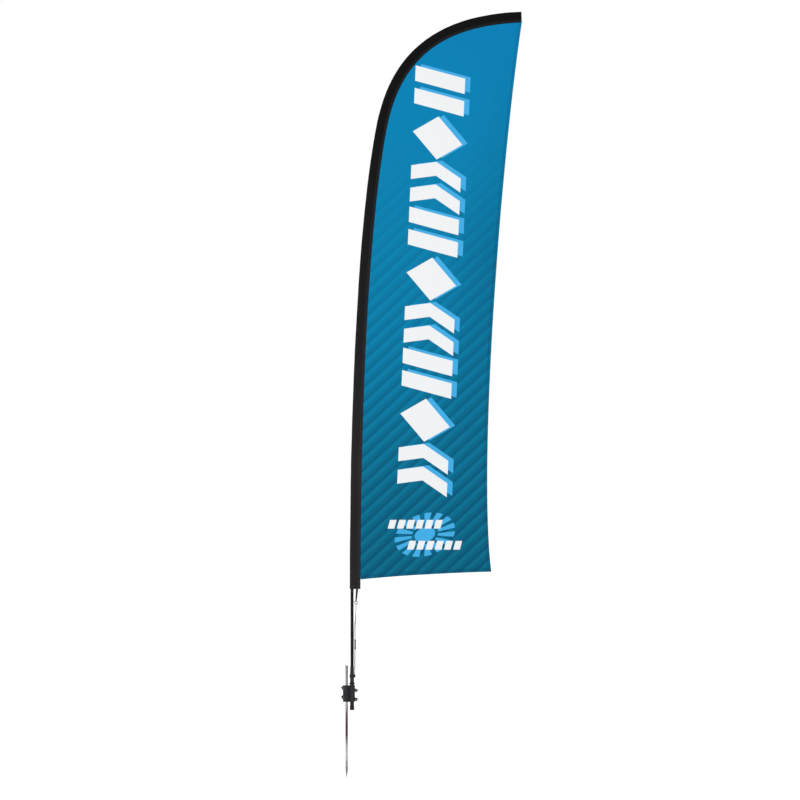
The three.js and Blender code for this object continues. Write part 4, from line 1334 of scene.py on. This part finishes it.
class BANNER_OT_elastic(bpy.types.Operator):
    """Make the elastic loop between the sleeve and the ring"""

    bl_idname = "banner.elastic"
    bl_label = "Elastic Loop"

    def execute(self, context):
        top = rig.box("elastic_loop")[1].z
        ring = box_middle("tension_ring")
        wire = 1.1 * MM
        wire_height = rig.box("tension_ring")[1].z - wire
        sewn_x = 40.7 * MM
        width = 6.5 * MM
        thickness = 0.9 * MM
        eye = 1.65 * MM + thickness / 2
        leg = 4.4 * MM + thickness / 2
        side = [(leg - 1.9 * MM, top + 9 * MM), (leg - 0.9 * MM, top + 3 * MM),
                (leg, top), (leg - 0.9 * MM, top - 15 * MM), (eye, wire_height)]
        turn = [(eye * math.cos(step * math.pi / 12),
                 wire_height - 1.5 * MM - eye * math.sin(step * math.pi / 12))
                for step in range(1, 12)]
        line = [*side, *turn, *[(-y, z) for y, z in reversed(side)]]
        route = Route([Vector((0, y, z)) for y, z in line])
        lean = (sewn_x - ring.x) / (top - wire_height)

        def place(across, up):
            point, _ = route.at(up * route.length)
            middle = ring.x + lean * (min(point.z, top) - wire_height)
            narrow = math.exp(-((point.z - wire_height) / 0.006) ** 2)
            wide = smooth_step(point.z, wire_height + 0.006, top)
            point.x = middle + (across - 0.5) * width * (1 + 0.35 * (wide - narrow))
            return point

        bm = patch(12, 90, place, lambda across, up: (across * width, up * route.length))
        bmesh.ops.recalc_face_normals(bm, faces=bm.faces[:])
        make_piece("elastic_strap", bm, "pole", "elastic_loop", "elastic_webbing",
                   wall=thickness, sharp=60)
        return {"FINISHED"}


# ---- Hard pieces ----


class BANNER_OT_stake(bpy.types.Operator):
    """Make the pointed stake and its head"""

    bl_idname = "banner.stake"
    bl_label = "Ground Stake"

    def execute(self, context):
        sizes = context.scene.banner_hardware
        tip, top, radius = span("stake_rod")
        foot, face, head = span("stake_head")
        blunt, bore = 0.9, 3.35
        shoulder = foot - 0.3
        profile = [(0, tip), (0.5, tip + 0.15), (blunt, tip + 0.7)]
        profile += [(blunt + (radius - blunt) * share, tip + 0.7 + 28.3 * share)
                    for share in (0.25, 0.5, 0.75)]
        profile += [(radius, tip + 29), (radius, tip + 36)]
        profile += [(radius, tip + (shoulder - tip) * share) for share in (0.3, 0.5, 0.7, 0.9)]
        profile += [(radius, shoulder), (3, shoulder), (3, top), (0, top)]
        make_piece("stake_shaft", lathe(profile, 0, 40), "stake", "stake_rod", "stake_steel",
                   bevel=sizes.fine_edge, sharp=40)
        profile = [(0, top + 0.3), (bore, top + 0.3), (bore, foot), (head - 0.5, foot),
                   (head - 0.1, foot + 1.6), (head, face - 2.2), (head - 0.15, face - 0.9),
                   (head - 1, face - 0.1), (head - 2.4, face), (0, face)]
        make_piece("stake_cap", lathe(profile, 0, 40), "stake", "stake_head", "stake_steel",
                   sharp=50)
        return {"FINISHED"}


class BANNER_OT_clamp(bpy.types.Operator):
    """Make the two clamp plates with their bolts, washers and wing nuts"""

    bl_idname = "banner.clamp"
    bl_label = "Clamp"

    def execute(self, context):
        sizes = context.scene.banner_hardware
        for side in ("front", "back"):
            node = f"clamp_{side}_plate"
            make_piece(f"clamp_{side}_half", cad_copy(node), "clamp", node, "clamp_plastic",
                       bevel=sizes.edge, segments=3)
        for number in range(1, 5):
            self.bolt(number, sizes.thread_pitch / MM)
            self.washer(number)
            node = f"wing_nut_{number}"
            make_piece(f"nut_wings_{number}", cad_copy(node), f"nut_{number}", node,
                       "clamp_plastic", bevel=sizes.edge * 0.6)
        return {"FINISHED"}

    def bolt(self, number, pitch):
        """A bolt with a round head, a socket in it and threads at its far end."""
        node = f"clamp_bolt_{number}"
        middle = box_middle(node)
        face, end, head = span(node, "y")
        seat = face + 3
        shank, socket, thread_depth = 2.4, 1.7, 0.38
        start = seat + 8
        dome = [(head * math.sin(angle), seat - 0.9 - 2.1 * math.cos(angle))
                for angle in (0.45, 0.75, 1.05, 1.35)]
        profile = [(0, face + 1.5), (socket, face + 1.4), (socket, face + 0.25), *dome,
                   (head, seat - 0.8), (head, seat), (shank, seat), (shank, start)]
        for turn in range(int((end - 0.6 - start) / pitch)):
            profile += [(shank - thread_depth, start + pitch * (turn + 0.5)),
                        (shank, start + pitch * (turn + 1))]
        profile += [(shank - 0.5, end), (0, end)]
        bm = upright_to_cross(lathe(profile, 0, 24), middle.x, middle.z)
        make_piece(f"bolt_{number}", bm, "clamp", node, "bright_steel", "black_steel", sharp=40)

    def washer(self, number):
        node = f"clamp_washer_{number}"
        middle = box_middle(node)
        near, far, outer = span(node, "y")
        bore = 2.75
        profile = [(bore, near), (outer, near), (outer, far), (bore, far)]
        bm = upright_to_cross(lathe(profile, 0, 32), middle.x, middle.z)
        make_piece(f"washer_ring_{number}", bm, f"washer_{number}", node, "bright_steel",
                   bevel=0.15 * MM)


POST_BORE = 4.85  # millimetres, round the turning post


class BANNER_OT_swivel(bpy.types.Operator):
    """Make the swivel's tube, cap and collar, and finish the pieces inside it"""

    bl_idname = "banner.swivel"
    bl_label = "Swivel"

    def execute(self, context):
        sizes = context.scene.banner_hardware

        def turned(name, profile, body, node, slot, **more):
            bm = lathe(profile, SWIVEL_X, sizes.sides)
            make_piece(name, bm, body, node, slot, **more)

        floor, top, radius = span("spindle_tube")
        profile = [(radius - 1.5, floor), (radius, floor), (radius, top), (radius - 1.5, top)]
        turned("swivel_tube", profile, "spindle", "spindle_tube", "spindle_paint",
               bevel=sizes.fine_edge)

        low, high, cap = span("spindle_end_cap")
        bore = cap - 0.63
        floor -= 0.3
        profile = [(0, low), (cap - 3.2, low), (cap - 1.4, low + 0.5), (cap - 0.4, low + 1.5),
                   (cap, low + 3), (cap, high - 2.4), (cap - 0.25, high - 2.1),
                   (cap - 0.25, high - 1.7), (cap, high - 1.4), (cap - 0.1, high),
                   (bore, high), (bore, floor), (0, floor)]
        turned("swivel_end_cap", profile, "spindle", "spindle_end_cap", "cap_rubber", sharp=50)

        low, high, collar = span("swivel_collar")
        profile = [(POST_BORE, low), (collar - 1.6, low), (collar - 0.6, low + 0.35),
                   (collar, low + 1.3), (collar, high - 1.3), (collar - 0.6, high - 0.35),
                   (collar - 1.6, high), (POST_BORE, high)]
        turned("swivel_flange", profile, "rotor", "swivel_collar", "spindle_paint", sharp=50)
        paint_nodes(
            upper_bush="clamp_plastic", lower_bush="bush_plastic", thrust_washer="clamp_plastic",
            swivel_post="stake_steel", retaining_clip="bright_steel",
        )
        return {"FINISHED"}


class BANNER_OT_pole(bpy.types.Operator):
    """Make the pole's socket and lower section, and finish the sections inside the sleeve"""

    bl_idname = "banner.pole"
    bl_label = "Pole"

    def execute(self, context):
        sizes = context.scene.banner_hardware
        foot, top, radius = span("pole_foot_socket")
        seat = 6.35
        neck = radius - seat - 0.6
        profile = [(POST_BORE, foot), (radius - 0.6, foot), (radius, foot + 0.6),
                   (radius, foot + 20.5), (radius - 0.05, foot + 31.5)]
        profile += [(radius - neck * share, foot + 32 + 34 * share)
                    for share in (0.15, 0.4, 0.7, 0.95)]
        profile += [(seat + 0.45, top - 0.2), (seat, top), (seat, foot + 2), (POST_BORE, foot + 2)]
        make_piece("pole_socket", lathe(profile, SWIVEL_X, sizes.sides), "pole",
                   "pole_foot_socket", "clamp_plastic", sharp=50)

        length = 0.9
        lower = Route([POLE.at(length * step / 120)[0] for step in range(121)])
        bm = tube(lower, POLE_RADIUS, 32, 90, Vector((0, 1, 0)))
        make_piece("pole_lower_rod", face_away(bm, POLE.at(length / 2)[0]), "pole",
                   "pole_lower", "pole_fibreglass", wall=1.0 * MM, wall_side=-1, sharp=60)
        paint_nodes(
            pole_middle="pole_fibreglass", pole_tip="pole_fibreglass", pole_tip_cap="cap_rubber",
            lower_ferrule="bright_steel", upper_ferrule="bright_steel",
        )
        return {"FINISHED"}


# ---- Stage ----


LIT = Vector((0.2, 0, 1.2))  # where both lights point


class BANNER_OT_stage(bpy.types.Operator):
    """Make the floor and the lights"""

    bl_idname = "banner.stage"
    bl_label = "Stage"

    def execute(self, context):
        stage = context.scene.banner_stage
        context.scene.view_settings.view_transform = "Standard"
        self.floor(stage)
        self.surroundings(stage)
        self.light("key_light", stage.key, 3.0, Vector((-2.6, -4.2, 3.6)))
        self.light("fill_light", stage.fill, 2.5, Vector((3.4, -3.2, 2.4)))
        return {"FINISHED"}

    def floor(self, stage):
        bm = bmesh.new()
        place = Matrix.Translation((0.3, 6, STAKE_TIP - 0.4 * MM))
        bmesh.ops.create_grid(bm, x_segments=8, y_segments=8, size=14, matrix=place)
        mesh = bpy.data.meshes.new("floor")
        bm.to_mesh(mesh)
        bm.free()
        finish = Finish("floor_paint")
        speckle = finish.noise(3, 4)
        mesh.materials.append(finish.set(
            Base_Color=finish.mix(speckle, (*stage.floor, 1), linear(252, 252, 252)),
            Roughness=speckle * 0.1 + 0.75, Specular_IOR_Level=0.1,
            Emission_Color=(1, 1, 1, 1), Emission_Strength=stage.floor_glow,
        ))
        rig.stage(add_object("floor", mesh))

    def surroundings(self, stage):
        """White surroundings, which light the flag less brightly than they look."""
        world = bpy.data.worlds.new("studio")
        world.use_nodes = True
        tree = world.node_tree
        background = tree.nodes["Background"]
        background.inputs["Color"].default_value = (1, 1, 1, 1)
        seen = tree.nodes.new("ShaderNodeMapRange")
        seen.inputs["To Min"].default_value = stage.ambient
        seen.inputs["To Max"].default_value = 1.0
        path = tree.nodes.new("ShaderNodeLightPath")
        tree.links.new(path.outputs["Is Camera Ray"], seen.inputs["Value"])
        tree.links.new(seen.outputs["Result"], background.inputs["Strength"])
        bpy.context.scene.world = world

    def light(self, name, power, size, place):
        data = bpy.data.lights.new(name, "AREA")
        data.energy, data.size = power, size
        lamp = add_object(name, data)
        lamp.location = place
        lamp.rotation_euler = (LIT - place).to_track_quat("-Z", "Y").to_euler()


class BANNER_PT_panel(bpy.types.Panel):
    """The pieces of the banner flag and their settings"""

    bl_idname = "BANNER_PT_panel"
    bl_label = "Banner Flag"
    bl_space_type = "VIEW_3D"
    bl_region_type = "UI"
    bl_category = "Banner"

    def draw(self, context):
        layout = self.layout
        for operator in OPERATORS:
            layout.operator(operator.bl_idname)
        for group_name in GROUPS:
            group = getattr(context.scene, group_name)
            column = layout.box().column()
            column.label(text=group.bl_rna.description)
            for setting in group.bl_rna.properties:
                if not setting.is_readonly and setting.identifier != "name":
                    column.prop(group, setting.identifier)


OPERATORS = (
    BANNER_OT_camera, BANNER_OT_tension_cord, BANNER_OT_elastic, BANNER_OT_sleeve,
    BANNER_OT_flag, BANNER_OT_stake, BANNER_OT_clamp, BANNER_OT_swivel, BANNER_OT_pole,
    BANNER_OT_stage,
)
GROUPS = {
    "banner_cloth": ClothSizes,
    "banner_print": PrintColours,
    "banner_hardware": HardwareSizes,
    "banner_stage": StageSettings,
}


def register():
    for made in (*GROUPS.values(), *OPERATORS, BANNER_PT_panel):
        bpy.utils.register_class(made)
    for name, group in GROUPS.items():
        setattr(bpy.types.Scene, name, PointerProperty(type=group))


def unregister():
    for name in GROUPS:
        delattr(bpy.types.Scene, name)
    for made in (BANNER_PT_panel, *reversed(OPERATORS), *GROUPS.values()):
        bpy.utils.unregister_class(made)


def main():
    register()
    bpy.ops.banner.camera()
    bpy.ops.banner.tension_cord()
    bpy.ops.banner.elastic()
    bpy.ops.banner.sleeve()
    bpy.ops.banner.flag()
    bpy.ops.banner.stake()
    bpy.ops.banner.clamp()
    bpy.ops.banner.swivel()
    bpy.ops.banner.pole()
    bpy.ops.banner.stage()
    visual_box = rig.bounds()
    with open("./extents.json", "w") as file:
        json.dump({
            "cad": [list(corner) for corner in CAD_BOX],
            "visual": [list(corner) for corner in visual_box],
        }, file)


if __name__ == "__main__":
    main()
